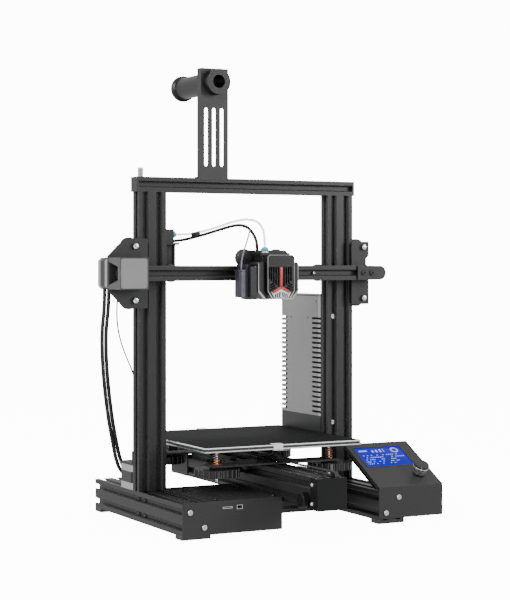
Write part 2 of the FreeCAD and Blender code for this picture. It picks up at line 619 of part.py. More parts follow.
def build_motor_brackets():
    top = "rail_top + motor_length"
    lift = cut(box("-screw_x - 21", "beam_size + 0.2", top, 42, 42, 3), motor_seat("-screw_x", "screw_y", top, 3, "z"))
    wall = box("-screw_x - 21", "beam_size + 0.2", f"{top} + 3", 42, 3, 16)
    motor_face = "-rail_size / 2 - 1"
    cheek = box(motor_face, "y_rail_back + 3", "y_rail_low", 3, 52, "y_belt_z + 21 - y_rail_low")
    flange = box(motor_face, "y_rail_back", "y_rail_low", "rail_size / 2 + 21", 3, "rail_size - slot_depth - 3")
    cheek = cut(fuse(cheek, flange), motor_seat(f"{motor_face} - 1", "y_motor_y", "y_belt_z", 5, "x"))
    keep("motor_brackets", group(fuse(lift, wall), cheek))


def build_y_belt():
    keep("y_belt", belt_loop("idler_y", "y_motor_y", "y_belt_z", "y_belt_x - belt_width / 2", "belt_width", "YZ"))
    keep("y_drive_pulley", stand(pulley(), "y_belt_x", "y_motor_y", "y_belt_z", LIE_ALONG["-x"]))


def build_lead_screw():
    """The lift screw with its coupler, standing on the lift motor's shaft."""
    low, high = "screw_base + 1", "screw_base + 26"
    keep("lead_screw", stand(turned([("axle_radius + running_fit", low), ("9.5", low), ("9.5", high),
                                     ("screw_radius", high), ("screw_radius", "screw_top - 1"),
                                     ("screw_radius - 1", "screw_top"), ("0", "screw_top"),
                                     ("0", f"{low} + 18"), ("axle_radius + running_fit", f"{low} + 18")]),
                             "-screw_x", "screw_y", 0))


def build_spool_holder():
    """The slotted bracket on the top beam, and the tube that carries the reel."""
    left, right = "-holder_left", "-holder_left + holder_width"
    front = box(left, 0, "frame_top", "holder_width", "holder_sheet", "holder_top - frame_top")
    flange = box(left, 0, "frame_top", "holder_sheet", 12.3, "holder_top - frame_top")
    foot = box(left, 0, "frame_top", "holder_width", "beam_size", "holder_sheet")
    windows = []
    for index in range(3):
        x = f"{left} + holder_slot_gap - 0.75 + {index} * (holder_slot + holder_slot_gap)"
        windows.append(box(x, -1, "frame_top + holder_slot_low", "holder_slot", 5,
                           "holder_slot_high - holder_slot_low"))
        for height in ("holder_slot_low", "holder_slot_high"):
            windows.append(rod(f"{x} + holder_slot / 2", -1, f"frame_top + {height}", "holder_slot / 2", 5, "y"))
    bracket = cut(fuse(front, flange, foot), *windows, rod("-spool_x", -5, "spool_z", "spool_radius - 2", 12, "y"))
    tube = stand(turned([("spool_bore", "-spool_neck"), ("spool_radius + 2.5", "-spool_neck"),
                         ("spool_radius + 2.5", "0"), ("spool_radius - 2", "0"),
                         ("spool_radius - 2", "holder_sheet"), ("spool_radius", "holder_sheet"),
                         ("spool_radius", "spool_reach - 7"), ("spool_radius + 3", "spool_reach - 5"),
                         ("spool_radius + 3", "spool_reach"),
                         ("spool_bore", "spool_reach")]), "-spool_x", 0, "spool_z", LIE_ALONG["y"])
    keep("spool_holder", group(bracket, tube))


# ---------------------------------------------------------------- bed

def bed_corners():
    half = "bed_hole_spacing / 2"
    return [(f"bed_centre_x + {a} * {half}", f"bed_centre_y + {b} * {half}") for a in (-1, 1) for b in (-1, 1)]


def y_axles():
    """X and Y of the carriage's four wheel axles."""
    return [(f"{side} * (rail_size / 2 + wheel_reach)", f"bed_centre_y + {end} * y_wheel_spacing / 2")
            for side in (-1, 1) for end in (-1, 1)]


def build_bed_carriage():
    """The plate on four wheels that carries the bed, notched in front to clear the belt's idler."""
    wide = "2 * carriage_half_width"
    core = box("-carriage_half_width", "bed_centre_y - carriage_core / 2", "carriage_low", wide, "carriage_core",
               "carriage_thickness")
    ties = box("-carriage_half_width", "bed_centre_y - carriage_length / 2", "carriage_low", wide, "carriage_length",
               "carriage_thickness")
    arms = [box("bed_centre_x - bed_hole_spacing / 2 - 11",
                f"bed_centre_y + {side} * bed_hole_spacing / 2 - 20 * {lean}",
                "carriage_low", "bed_hole_spacing + 22", 31, "carriage_thickness")
            for side, lean in ((-1, 0.55), (1, 1))]
    holes = [rod(x, y, "carriage_low - 2", "screw_shank + 0.3", 8) for x, y in bed_corners()]
    holes += [rod(x, y, "carriage_low - 2", "axle_radius", 8) for x, y in y_axles()]
    windows = [box("-window_left", "bed_centre_y - 46", "carriage_low - 2", "window_width", 92, 8),
               box("window_right", "clamp_front + 6", "carriage_low - 2", "window_width",
                   "bed_centre_y + 46 - clamp_front - 6", 8)]
    notch = box("y_belt_x - belt_notch / 2", "bed_centre_y - carriage_length / 2 - 1", "carriage_low - 2",
                "belt_notch", "clamp_front - 1.5 - bed_centre_y + carriage_length / 2 + 1", 8)
    axles = [axle(x, y, "carriage_low", "-z", "carriage_thickness",
                  "carriage_low - y_rail_top + rail_size / 4 - wheel_width / 2")
             for x, y in y_axles()]
    clamps = [cut(box("y_belt_x - clamp_width / 2", y, "carriage_top", "clamp_width", 10, "clamp_height"),
                  box("y_belt_x - belt_width / 2 - free_gap", f"{y} - 1", "carriage_top - 1",
                      "belt_width + 2 * free_gap", 12, "y_belt_z + belt_outer + free_gap - carriage_top + 1"))
              for y in ("clamp_front", "bed_centre_y + 52")]
    keep("y_carriage", group(cut(fuse(core, ties, *arms), *holes, *windows, notch), *axles, *clamps))
    for name, (x, y) in zip(("front_left", "rear_left", "front_right", "rear_right"), y_axles()):
        wheel("y_wheel_" + name, x, y, "y_rail_top - rail_size / 4")


def build_bed():
    left, front = "bed_centre_x - bed_size / 2", "-bed_front"
    holes = [rod(x, y, "bed_underside - 1", "screw_shank + 0.2", 12) for x, y in bed_corners()]
    plate = cut(box(left, front, "bed_underside", "bed_size", "bed_size", "heater_thickness"), *holes)
    keep("bed_plate", plate)
    top = box(left, front, "bed_underside + heater_thickness", "bed_size", "bed_size", "surface_thickness")
    pockets = [rod(x, y, "bed_underside", 4.2, 12) for x, y in bed_corners()]
    keep("build_surface", cut(top, *pockets))
    springs = [ring(x, y, "carriage_top", "spring_radius", "spring_radius - 1.2", "bed_underside - carriage_top")
               for x, y in bed_corners()]
    screws = [stand(turned([("0", "carriage_low - 20"), ("screw_shank", "carriage_low - 20"),
                            ("screw_shank", "bed_underside + heater_thickness"),
                            ("3.8", "bed_underside + heater_thickness"),
                            ("3.8", "bed_underside + heater_thickness + 2.2"),
                            ("0", "bed_underside + heater_thickness + 2.2")]), x, y, 0) for x, y in bed_corners()]
    clips = []
    for y, way in (("-bed_front", 1), ("bed_size - bed_front", -1)):
        edge = f"{y} - {1.2 if way > 0 else 0}"
        lip = f"{y} - {0 if way > 0 else 9}"
        upright = box("-14.5", edge, "bed_underside - 0.9", 14, 1.2, "bed_top - bed_underside + 1.8")
        over = box("-14.5", lip, "bed_top", 14, 9, 0.9)
        under = box("-14.5", lip, "bed_underside - 0.9", 14, 9, 0.9)
        clips.append(fuse(upright, over, under))
    keep("bed_hardware", group(*springs, *screws, *clips))
    for index, (x, y) in enumerate(bed_corners()):
        name = ("front_left", "rear_left", "front_right", "rear_right")[index]
        levelling_wheel("levelling_wheel_" + name, x, y)


def levelling_wheel(label, x, y):
    """A large thumb wheel with finger notches, hanging under the carriage on its screw."""
    high = "carriage_low - free_gap"
    low = f"{high} - knurl_height - 1.2"
    bore = "screw_shank + running_fit"
    blank = turned([(bore, low), ("9", low), ("9", f"{low} + 3"), ("knurl_radius - 4", f"{low} + 3"),
                    ("knurl_radius - 4", low), ("knurl_radius", low), ("knurl_radius", f"{high} - 1.6"),
                    ("11", f"{high} - 1.6"), ("9", high), (bore, high)])
    stand(blank, x, y, 0)
    notches = []
    for index in range(24):
        turn = math.tau * index / 24
        dx, dy = round(math.cos(turn), 5), round(math.sin(turn), 5)
        notches.append(rod(f"{x} + {dx} * (knurl_radius + 0.8)", f"{y} + {dy} * (knurl_radius + 0.8)",
                           f"{low} - 1", 2.2, "knurl_height + 4"))
    keep(label, cut(blank, *notches))


# ---------------------------------------------------------------- gantry

def build_x_beam():
    keep("x_beam", stand(extrusion(1, 1, "beam_size", "x_beam_length"), "-x_beam_left", "beam_mid_y",
                         "gantry_height", LIE_ALONG["x"]))


def gantry_axles(side):
    """The three wheel axles of one end plate: two outside the upright, one inside."""
    places = [(f"{side} * (rail_outer + wheel_reach)", "gantry_height + z_wheel_spacing / 2"),
              (f"{side} * (rail_outer + wheel_reach)", "gantry_height - z_wheel_spacing / 2"),
              (f"{side} * (rail_inner - wheel_reach)", "gantry_height")]
    return places


def build_left_plate():
    """The plate that carries the left end of the beam, both gantry motors and the lift nut."""
    g = "gantry_height"
    right = "(motor_size / 2 + 2.8 - feeder_x)"
    low, high, arm = f"{g} - left_plate_rise", f"{g} + left_plate_rise", "beam_size / 2"
    corners = [("-left_plate_edge", f"{g} - left_plate_low"), ("-left_plate_shoulder", low), ("-plate_inside", low),
               ("-plate_inside", f"{g} - {arm}"), (right, f"{g} - {arm}"), (right, f"{g} + {arm}"),
               ("-plate_inside", f"{g} + {arm}"), ("-plate_inside", high), ("-left_plate_shoulder", high),
               ("-left_plate_edge", f"{g} + left_plate_high")]
    holes = [(x, z, "axle_radius") for x, z in gantry_axles(-1)]
    holes.append(("-x_motor_x", g, "motor_boss + 0.3"))
    plate = stand(sheet_piece("XZ", corners, "gantry_plate", holes), 0, "-plate_gap", 0)
    wall = box(f"{right} - 2.5", "-plate_gap", f"{g} - 10", 2.5, "plate_gap + feeder_y + 22", 20)
    level = f"{g} + shelf_height"
    riser = box(f"{right} - 2.5", "feeder_y - 18", f"{g} - 10", 2.5, 40, "shelf_height + 13")
    shelf_left = "(feeder_x + motor_size / 2)"
    shelf = box(f"-{shelf_left}", "screw_y - nut_radius - 1", level, f"{shelf_left} + {right}",
                "feeder_y - screw_y + nut_radius + 23", 3)
    ear = box("-screw_x - nut_radius - 1.5", "screw_y - nut_radius - 1", level, "2 * nut_radius",
              "2 * nut_radius + 2", 3)
    seats = [motor_seat("-feeder_x", "feeder_y", f"{level} - 0.5", 5, "z"),
             rod("-screw_x", "screw_y", f"{level} - 0.5", 5.3, 5)]
    bore, sleeve = "screw_radius + 0.3", "screw_radius + 1.1"
    nut = stand(turned([(bore, f"{level} - 12.5"), (sleeve, f"{level} - 12.5"), (sleeve, f"{level} - 3.5"),
                        ("nut_radius", f"{level} - 3.5"), ("nut_radius", level), (bore, level)]),
                "-screw_x", "screw_y", 0)
    nut = cut(nut, box("-feeder_x - motor_size / 2 - free_gap", 20, f"{g} + 20", 20, 50, 30))
    axles = [axle(x, "-plate_gap", z, "y", "gantry_plate", "plate_gap + beam_size / 2 - wheel_width / 2")
             for x, z in gantry_axles(-1)[:2]]
    bracket = cut(fuse(plate, wall, riser, shelf, ear), *seats)
    keep("z_plate_left", group(bracket, nut, *axles, short_axle(-1)))


def short_axle(side):
    """The inner wheel's axle, whose head is sunk behind the beam."""
    x, z = gantry_axles(side)[2]
    spacer = "plate_gap + beam_size / 2 - wheel_width / 2"
    reach = f"({spacer}) + wheel_width"
    return stand(turned([("0", "-gantry_plate"), ("axle_radius", "-gantry_plate"), ("axle_radius", "0"), ("4", "0"),
                         ("4", f"({spacer}) - free_gap"), ("axle_radius", f"({spacer}) - free_gap"),
                         ("axle_radius", f"{reach} + free_gap"), ("4.2", f"{reach} + free_gap"),
                         ("4.2", f"{reach} + free_gap + 4"), ("0", f"{reach} + free_gap + 4")]),
                 x, "-plate_gap", z, LIE_ALONG["y"])


def build_right_plate():
    """The plate at the beam's right end, with the belt's adjustable idler."""
    g = "gantry_height"
    inner, outer, notch = "94.2", "185", "180.6"
    corners = [(inner, f"{g} - 10"), ("plate_inside", f"{g} - 10"), ("plate_inside", f"{g} - 44.6"),
               (outer, f"{g} - 44.6"), (outer, f"{g} + 8"), (notch, f"{g} + 12"), (notch, f"{g} + 20"),
               (outer, f"{g} + 24"), (outer, f"{g} + 44"), ("plate_inside", f"{g} + 44"),
               ("plate_inside", f"{g} + 10"), (inner, f"{g} + 10")]
    holes = [(x, z, "axle_radius") for x, z in gantry_axles(1)]
    plate = stand(sheet_piece("XZ", corners, "gantry_plate", holes), 0, "-plate_gap", 0)
    axles = [axle(x, "-plate_gap", z, "y", "gantry_plate", "plate_gap + beam_size / 2 - wheel_width / 2")
             for x, z in gantry_axles(1)[:2]]
    leaf = fuse(box("idler_x - 36", "-beam_front - 2.6", f"{g} - 9.8", 36, 2.6, 19.6),
                rod("idler_x", "-beam_front - 2.6", g, 9.8, 2.6, "y"))
    back = fuse(box("x_beam_length - x_beam_left + 0.5", "-plate_front", f"{g} - 9.8",
                    "idler_x - x_beam_length + x_beam_left", 2.4, 19.6),
                rod("idler_x", "-plate_front", g, 9.8, 2.4, "y"))
    screws = [screw(x, "-beam_front - 2.6", g, "-y") for x in (163.2, 176.4)]
    pin = rod("idler_x", "-beam_front", g, "axle_radius - 1", "beam_size", "y")
    idler = ring("idler_x", "beam_mid_y - 3.4", g, "pulley_radius - 0.3", "axle_radius - 0.95", 6.8, "y")
    keep("z_plate_right", group(fuse(plate, back), leaf, pin, idler, *screws, *axles, short_axle(1)))


def build_gantry_motors():
    x_motor = motor("-x_motor_x", "-plate_gap", "gantry_height", "-y", "beam_front - plate_gap - 4")
    feed_motor = motor("-feeder_x", "feeder_y", "gantry_height + shelf_height", "z", 18)
    keep("gantry_motors", group(x_motor, feed_motor))


def build_x_motor_cover():
    """The hooded cover over the belt's drive pulley, open to the beam."""
    g, low = "gantry_height", "gantry_height - cover_height / 2"

    def hood(inset, front):
        return [(f"{inset} - cover_back", "-plate_front"), (f"{inset} - cover_shoulder", front),
                ("-cover_inside", front), ("-cover_inside", "-plate_front")]
    outer = stand(sheet_piece("XY", hood("0", "-cover_front"), "cover_height"), 0, 0, low)
    inner = stand(sheet_piece("XY", hood("cover_wall", "-cover_front + cover_wall"), "cover_height - 2 * cover_wall"),
                  0, 0, f"{low} + cover_wall")
    side = stand(sheet_piece("YZ", [("-plate_front - 0.5", f"{g} - 15.5"), ("-plate_front - 0.5", f"{g} + 15.5"),
                                    ("-cover_front + 5", f"{g} + 9"), ("-cover_front + 5", f"{g} - 9")], 12),
                 "-cover_back - 4.4", 0, 0)
    beam_way = box("-x_beam_left - 2", "-beam_front - free_gap", f"{g} - beam_size / 2 - free_gap", 10, 40,
                   "beam_size + 2 * free_gap")
    keep("x_motor_cover", cut(outer, inner, side, beam_way))


def build_x_belt():
    keep("x_belt", belt_loop("-x_motor_x", "idler_x", "gantry_height", "beam_mid_y - belt_width / 2", "belt_width",
                             "XZ"))
    keep("x_drive_pulley", stand(pulley(), "-x_motor_x", "beam_mid_y", "gantry_height", LIE_ALONG["-y"]))


def build_extruder():
    """The feeder on its shelf: block, blue outlet, hobbed gear and its sprung lever."""
    x, y, low = "-feeder_x", "feeder_y", "gantry_height + shelf_height + 3"
    base = box(f"{x} - 20.8", f"{y} - 20.5", low, 41.5, 41, 5)
    tower = box(f"{x} - 20.8", f"{y} - 20.5", f"{low} + 5", 41.5, 15, 13.5)
    post = box(f"{x} + 11.7", f"{y} + 7", f"{low} + 5", 9, 9, 13.5)
    boss = rod(x, y, low, "motor_boss + 0.5", 6)
    channel = rod(f"{x} - 27", f"{y} - 9", f"{low} + 11.5", 1.2, 60, "x")
    pivot = rod(f"{x} - 14.3", f"{y} + 13", f"{low} + 5", 3, 13)
    outlet = fuse(rod(f"{x} + 20.7", f"{y} - 9", f"{low} + 11.5", 4.6, 5, "x"),
                  rod(f"{x} + 25.7", f"{y} - 9", f"{low} + 11.5", 3.4, 2.5, "x"))
    gear = ring(x, y, f"{low} + 7", 5, "axle_radius", 9)
    block = cut(fuse(base, tower, post), channel, boss)
    bored = cut(outlet, rod(f"{x} + 18", f"{y} - 9", f"{low} + 11.5", 1.2, 12, "x"))
    keep("extruder_body", group(block, pivot, bored, gear))
    arm = sheet_piece("XY", [("-6", "-4.5"), ("22", "-4.5"), ("22", "2.5"), ("6", "4.5"), ("2", "7.5"), ("-6", "7.5")],
                      7, [("0", "0", "3 + running_fit")])
    keep("extruder_lever", stand(arm, f"{x} - 14.3", f"{y} + 13", f"{low} + 8"))


# ---------------------------------------------------------------- tool head

def build_x_plate():
    """The plate on three wheels that carries the tool head along the beam."""
    g = "gantry_height"
    high, low = "beam_size / 2 + wheel_reach", "-(beam_size / 2 + wheel_reach)"
    places = [("-x_wheel_spacing / 2", high), ("x_wheel_spacing / 2", high), ("0", low)]
    corners = [("-37.5", "-12"), ("-24", "-33"), ("24", "-33"), ("37.5", "-12"), ("37.5", "25"), ("32", "31"),
               ("-32", "31"), ("-37.5", "25")]
    holes = [(x, z, "axle_radius") for x, z in places]
    plate = stand(sheet_piece("XZ", corners, "head_plate", holes), "head_x", "-head_back", g)
    axles = [axle(f"head_x + {x}", "-head_back", f"{g} + {z}", "y", "head_plate",
                  "head_back + beam_mid_y - wheel_width / 2") for x, z in places]
    bridge = box("head_x - 6", "-head_back", f"{g} + beam_size / 2 + 1", 12, "head_back + beam_mid_y + 2.5", 2.5)
    tongue = box("head_x - 6", "beam_mid_y - 2.5", f"{g} + belt_outer + 0.6", 12, 5, "beam_size / 2 + 1 - belt_outer")
    keep("x_plate", group(fuse(plate, bridge, tongue), *axles))
    for name, (x, z) in zip(("top_left", "top_right", "bottom"), places):
        wheel("x_wheel_" + name, f"head_x + {x}", "beam_mid_y", f"{g} + {z}", "y")


def build_shroud():
    """The hood over the hot end: a wide body, a narrower grille and a flat roof."""
    low, high = "shroud_low", "shroud_low + 50"

    def body(inset):
        half = f"(shroud_width / 2 - {inset})"
        return [(f"-{half}", f"{low} + 10 + {inset} / 2"), (f"-{half} + 9", f"{low} + {inset}"),
                (f"{half} - 9", f"{low} + {inset}"), (half, f"{low} + 10 + {inset} / 2"),
                (half, f"{high} - {inset}"), (f"-{half}", f"{high} - {inset}")]

    def nose(inset):
        half = f"(grille_width / 2 - {inset})"
        return [(f"-{half}", f"{low} + 11"), (f"-{half} + 7", f"{low} + {inset}"), (f"{half} - 7", f"{low} + {inset}"),
                (half, f"{low} + 11"), (half, f"{high} + 6.5 - {inset}"), (f"{half} - 3", f"{high} + 8.8 - {inset}"),
                (f"-{half} + 3", f"{high} + 8.8 - {inset}"), (f"-{half}", f"{high} + 6.5 - {inset}")]
    wide = stand(sheet_piece("XZ", body("0"), "shroud_front - 5 - head_front", flip=True), "head_x", "-shroud_front + 5", 0)
    hollow = stand(sheet_piece("XZ", body("shroud_wall"), "shroud_front", flip=True), "head_x",
                   "-shroud_front + 5 + shroud_wall", 0)
    front = stand(sheet_piece("XZ", nose("0"), 34, flip=True), "head_x", "-shroud_front", 0)
    throat = stand(sheet_piece("XZ", nose("shroud_wall"), 40, flip=True), "head_x", "-shroud_front + shroud_wall", 0)
    roof = box("head_x - 22", "-shroud_front + 12", f"{high} + 8.4", 44, "shroud_front - 15.6 - head_front", 4)
    skirt = box("head_x - 20", "-shroud_front + 34", f"{high} - 1", 40, "shroud_front - 34 - head_front", 10)
    under = box("head_x - 17", "-shroud_front + 8", f"{low} - 1", 34, 28, 5)
    port = rod("nozzle_x", "-nozzle_y", f"{high} - 5", 5.6, 30)
    inner_skirt = box("head_x - 18.4", "-shroud_front + 30", f"{high} - 5", 36.8, 40, 12)
    slots = []
    for index in range(8):
        slots.append(box(f"head_x - 14.6 + {3.9 * index}", "-shroud_front - 1", f"{low} + 21", 1.9, 4, 24))
    for index in range(6):
        slots.append(box(f"head_x - 11.4 + {4.4 * index}", "-shroud_front - 1", f"{low} + 3", 1.6, 4, 5))
    for side in (-1, 1):
        for row in range(3):
            slots.append(box(f"head_x + {side * 11 - 5}", "-shroud_front - 1", f"{low} + {10 + 3.4 * row}", 10, 4, 1.5))
    keep("shroud", cut(fuse(wide, front, roof, skirt), hollow, throat, under, port, inner_skirt, *slots))


def build_hotend():
    """Heat sink, throat, heater block and nozzle on the filament's axis."""
    x, y, tip = "nozzle_x", "-nozzle_y", "nozzle_tip"
    fins = [("0", f"{tip} + 20")]
    for index in range(7):
        fins += [("8", f"{tip} + {20 + 3.2 * index}"), ("8", f"{tip} + {21.2 + 3.2 * index}"),
                 ("4.5", f"{tip} + {21.2 + 3.2 * index}"), ("4.5", f"{tip} + {23.2 + 3.2 * index}")]
    fins += [("8", f"{tip} + 42.4"), ("8", f"{tip} + 48"), ("5", f"{tip} + 48"), ("5", f"{tip} + 66"),
             ("3.6", f"{tip} + 67"), ("0", f"{tip} + 67")]
    sink = stand(turned(fins), x, y, 0)
    throat = rod(x, y, f"{tip} + 16", 2, 4)
    block = box(f"{x} - 6", f"{y} - 12", f"{tip} + 6", 12, 18, 10)
    nozzle = stand(turned([("0", tip), ("0.8", tip), ("3", f"{tip} + 3"), ("3", f"{tip} + 6"), ("0", f"{tip} + 6")]),
                   x, y, 0)
    strut = box(f"{x} - 4", "-nozzle_y + 7.9", f"{tip} + 42.4", 8, "nozzle_y - 7.9 - head_front", 5.6)
    keep("hotend", group(fuse(sink, strut), throat, block, nozzle))
    hub = "-shroud_front + shroud_wall + 0.6"
    blades = [stand(fan_blade(), "head_x", hub, "shroud_low + 31", LIE_ALONG["y"].multiply(Turn(V(0, 0, 1), 360 * i / 7)))
              for i in range(7)]
    rotor = fuse(rod("head_x", hub, "shroud_low + 31", 7, 7, "y"), *blades)
    keep("hotend_fan", cut(rotor, rod("head_x", f"{hub} + 2", "shroud_low + 31", "1.5 + running_fit", 20, "y")))


def fan_blade():
    return sheet_piece("XY", [("5", "-1"), ("16.5", "-3.2"), ("17", "0.6"), ("5", "1")], 6)


def build_blower():
    """The flat part-cooling blower beside the hood, with the hood fan's stator post."""
    case = box("head_x - 40.6", "-head_front - 37", "shroud_low + 4", 10, 37, 40)
    eye = rod("head_x - 43", "-head_front - 19", "shroud_low + 25", 12, 8, "x")
    hub = rod("head_x - 38.5", "-head_front - 19", "shroud_low + 25", 6.5, 3.5, "x")
    duct = box("head_x - 40.6", "-head_front - 34", "shroud_low", 10, 22, 4)
    post = fuse(rod("head_x", "-shroud_front + shroud_wall + 2.6", "shroud_low + 31", 1.5, 9, "y"),
                box("head_x - 19", "-shroud_front + shroud_wall + 9.2", "shroud_low + 29", 38, 3, 4))
    keep("blower", group(cut(fuse(case, duct), eye), hub, post))


def build_probe():
    """The bed probe on its bracket, with its retracting pin below."""
    x, y = "head_x - 55", "-66"
    body = box(x, y, "shroud_low + 3", 14, 11.5, 34.6)
    shoulder = box(f"{x} - 1", f"{y} - 0.5", "shroud_low + 37.6", 15, 12.5, 2)
    leaf = box("head_x - 43", y, "shroud_low + 37.6", 2, "66 - head_front", 9.2)
    shelf = box("head_x - 43", "-head_front - 20", "shroud_low + 44.4", 12.2, 20, 2.4)
    bore = rod(f"{x} + 7", f"{y} + 5.75", "shroud_low", "1.2 + running_fit", 22)
    keep("probe", group(cut(fuse(body, shoulder, leaf, shelf), bore)))
    keep("probe_pin", stand(turned([("0", "shroud_low + 0.8"), ("0.5", "shroud_low + 0.8"), ("1.2", "shroud_low + 2.2"),
                                    ("1.2", "shroud_low + 15"), ("0", "shroud_low + 15")]),
                            f"{x} + 7", f"{y} + 5.75", 0))


# ---------------------------------------------------------------- knob and cords

def build_knob():
    """The display's round selector knob on its shaft, square to the panel."""
    x, up = "knob_x", "knob_up"
    blank = turned([("0", "-4"), ("3", "-4"), ("3", "1"), ("7", "1"), ("7.4", "5"), ("10.6", "12"), ("11", "15"),
                    ("10.2", "16.5"), ("0", "16.5")])
    stand(blank, x, up, 0)
    around = [math.tau * i / GROOVES for i in range(GROOVES)]
    grooves = [rod(f"{x} + {11.6 * math.cos(a):.6f}", f"{up} + {11.6 * math.sin(a):.6f}", 10, 1, 8) for a in around]
    keep("lcd_knob", stand(cut(blank, *grooves), "display_left", "-box_front - sheet", "display_edge",
                           Turn(V(1, 0, 0), PANEL_TILT)))


def cord(points, radius):
    """A tube of straight runs joined by tangent arcs through a hand-chosen route."""
    route = [V(*point) for point in points]
    edges, radii = [], []
    start = route[0]
    for before, corner, after in zip(route, route[1:], route[2:]):
        way_in = (corner - before).normalize()
        way_out = (after - corner).normalize()
        turn = way_in.getAngle(way_out)
        trim = ARC_SHARE * min(before.distanceToPoint(corner), corner.distanceToPoint(after))
        radii.append(round(trim / math.tan(turn / 2), 1))
        arc_start = corner - way_in * trim
        arc_end = corner + way_out * trim
        bisector = (way_out - way_in).normalize()
        middle = corner + bisector * (trim * (1 / math.cos(turn / 2) - 1) / math.tan(turn / 2))
        edges.append(Part.LineSegment(start, arc_start).toShape())
        edges.append(Part.Arc(arc_start, middle, arc_end).toShape())
        start = arc_end
    edges.append(Part.LineSegment(start, route[-1]).toShape())
    path = Part.Wire(edges)
    section = Part.Wire([Part.makeCircle(radius, route[0], route[1] - route[0])])
    tube = path.makePipeShell([section], True, False)
    print("cord radii", radii, "volume share", round(tube.Volume / (math.pi * radius ** 2 * path.Length), 4))
    return tube


BOWDEN_ROUTE = [(-87.2, 53.3, 389), (-74, 53.3, 389), (-62, 46, 390.8), (-51, 34, 394), (-40, 18, 399),
                (-29, -2, 405.5), (-17.5, -23, 409.5), (-8, -38, 407), (-4, -48, 397.5), (-3, -52, 383),
                (-3, -52, 367)]
HARNESS_ROUTE = [(-94.7, 68, 380), (-83, 68, 380), (-70, 60, 382), (-60, 48.5, 385.5), (-51.5, 35.5, 389),
                 (-42.5, 20, 393.5), (-33, 2, 398.5), (-23, -13, 402), (-14.5, -24, 399), (-10.5, -34.5, 388.5),
                 (-9.5, -42.4, 376.5), (-9.5, -42.4, 363.4)]
PROBE_WIRE_ROUTE = [(-14.3, -31.5, 396), (-19.5, -37, 388), (-26.5, -44.5, 378), (-34, -52, 368),
                    (-40, -57.8, 357.5), (-42.6, -60.2, 350), (-42.6, -60.2, 340.6)]
MOTOR_CABLE_ROUTE = [(-208, 15, 314.8), (-208, 15, 292), (-210.5, 18, 262), (-207.5, 25, 230), (-202, 34, 200),
                     (-194, 45, 166), (-184.5, 56, 132), (-175, 65, 102), (-168, 71, 80), (-159.5, 76, 64),
                     (-146, 78.5, 56), (-131, 77.5, 53.5), (-117, 70, 47.5), (-110, 55, 36.5), (-109, 39, 25),
                     (-109, 22, 25)]
FEEDER_CABLE_ROUTE = [(-202, 15, 314.8), (-202, 15, 292), (-204.7, 18, 262), (-201.8, 25, 230), (-196.3, 34, 200),
                      (-188.3, 45, 166), (-178.8, 56, 132), (-169.5, 65, 102.5), (-162.8, 70.5, 83),
                      (-155.5, 75, 69), (-144, 77.5, 61.7), (-129.5, 76.5, 59.2), (-112, 70, 51), (-103, 55, 36.5),
                      (-102, 39, 25), (-102, 22, 25)]
SENSOR_WIRE_ROUTE = [(-192, 8, 314.8), (-192, 8, 297), (-189.5, 9.5, 276), (-183.5, 13, 254), (-174, 19, 230),
                     (-164, 25.5, 211), (-157.5, 30, 195), (-155.3, 29, 182), (-155, 23, 174.5), (-155, 14, 174.5)]


def build_cords():
    keep("bowden_tube", tube_feature([cord(BOWDEN_ROUTE, 2)]))
    keep("hotend_harness", tube_feature([cord(HARNESS_ROUTE, 2.2), cord(PROBE_WIRE_ROUTE, 1.1)]))
    keep("gantry_cable", tube_feature([cord(MOTOR_CABLE_ROUTE, 2.6), cord(FEEDER_CABLE_ROUTE, 2.6),
                                       cord(SENSOR_WIRE_ROUTE, 1.2)]))


def tube_feature(tubes):
    feature = doc.addObject("Part::Feature", "tube")
    feature.Shape = tubes[0] if len(tubes) == 1 else Part.makeCompound(tubes)
    feature.Placement = FreeCAD.Placement()
    return feature


def wheels_on_gantry():
    names = ("outer_top", "outer_bottom", "inner")
    for side, hand in ((-1, "left"), (1, "right")):
        for name, (x, z) in zip(names, gantry_axles(side)):
            wheel(f"z_wheel_{hand}_{name}", x, "beam_size / 2", z, "y")


def check_and_write():
    """Stop on any failed object, then write each sub-part about the footprint's middle."""
    doc.recompute()
    failed = [item.Label + " in " + " ".join(user.Label for user in item.InListRecursive)
              for item in doc.Objects if {"Invalid", "Error"} & set(item.State)]
    if failed:
        raise RuntimeError("failed: " + ", ".join(failed))
    shift = V(-sizes.middle_x, -sizes.middle_y, 0)
    os.makedirs("parts", exist_ok=True)
    whole = FreeCAD.BoundBox()
    for part in SUB_PARTS:
        shape = part.Shape
        if shape.isNull() or not shape.isValid() or not shape.Solids:
            raise RuntimeError(part.Label + " has no valid solid")
        moved = Part.makeCompound(shape.Solids) if len(shape.Solids) > 1 else shape.Solids[0]
        moved = moved.translated(shift)
        moved.exportStep(f"parts/{part.Label}.step")
        if part.Label not in ("bowden_tube", "hotend_harness", "gantry_cable"):
            whole.add(moved.BoundBox)
    print(len(SUB_PARTS), "sub-parts, box", whole)


sizes, places = write_sizes()
PANEL_TILT = sizes.panel_angle

build_base_frame()
build_y_rail()
build_upper_frame()
build_feet_and_caps()
build_frame_screws()
build_control_box()
build_circuit_boards()
build_display()
build_power_supply()
build_y_tensioner()
build_frame_motors()
build_motor_brackets()
build_y_belt()
build_lead_screw()
build_spool_holder()
build_bed_carriage()
build_bed()
build_x_beam()
build_left_plate()
build_right_plate()
build_gantry_motors()
build_x_motor_cover()
build_x_belt()
build_extruder()
build_x_plate()
build_shroud()
build_hotend()
build_blower()
build_probe()
build_knob()
wheels_on_gantry()
build_cords()
check_and_write()
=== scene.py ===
import math

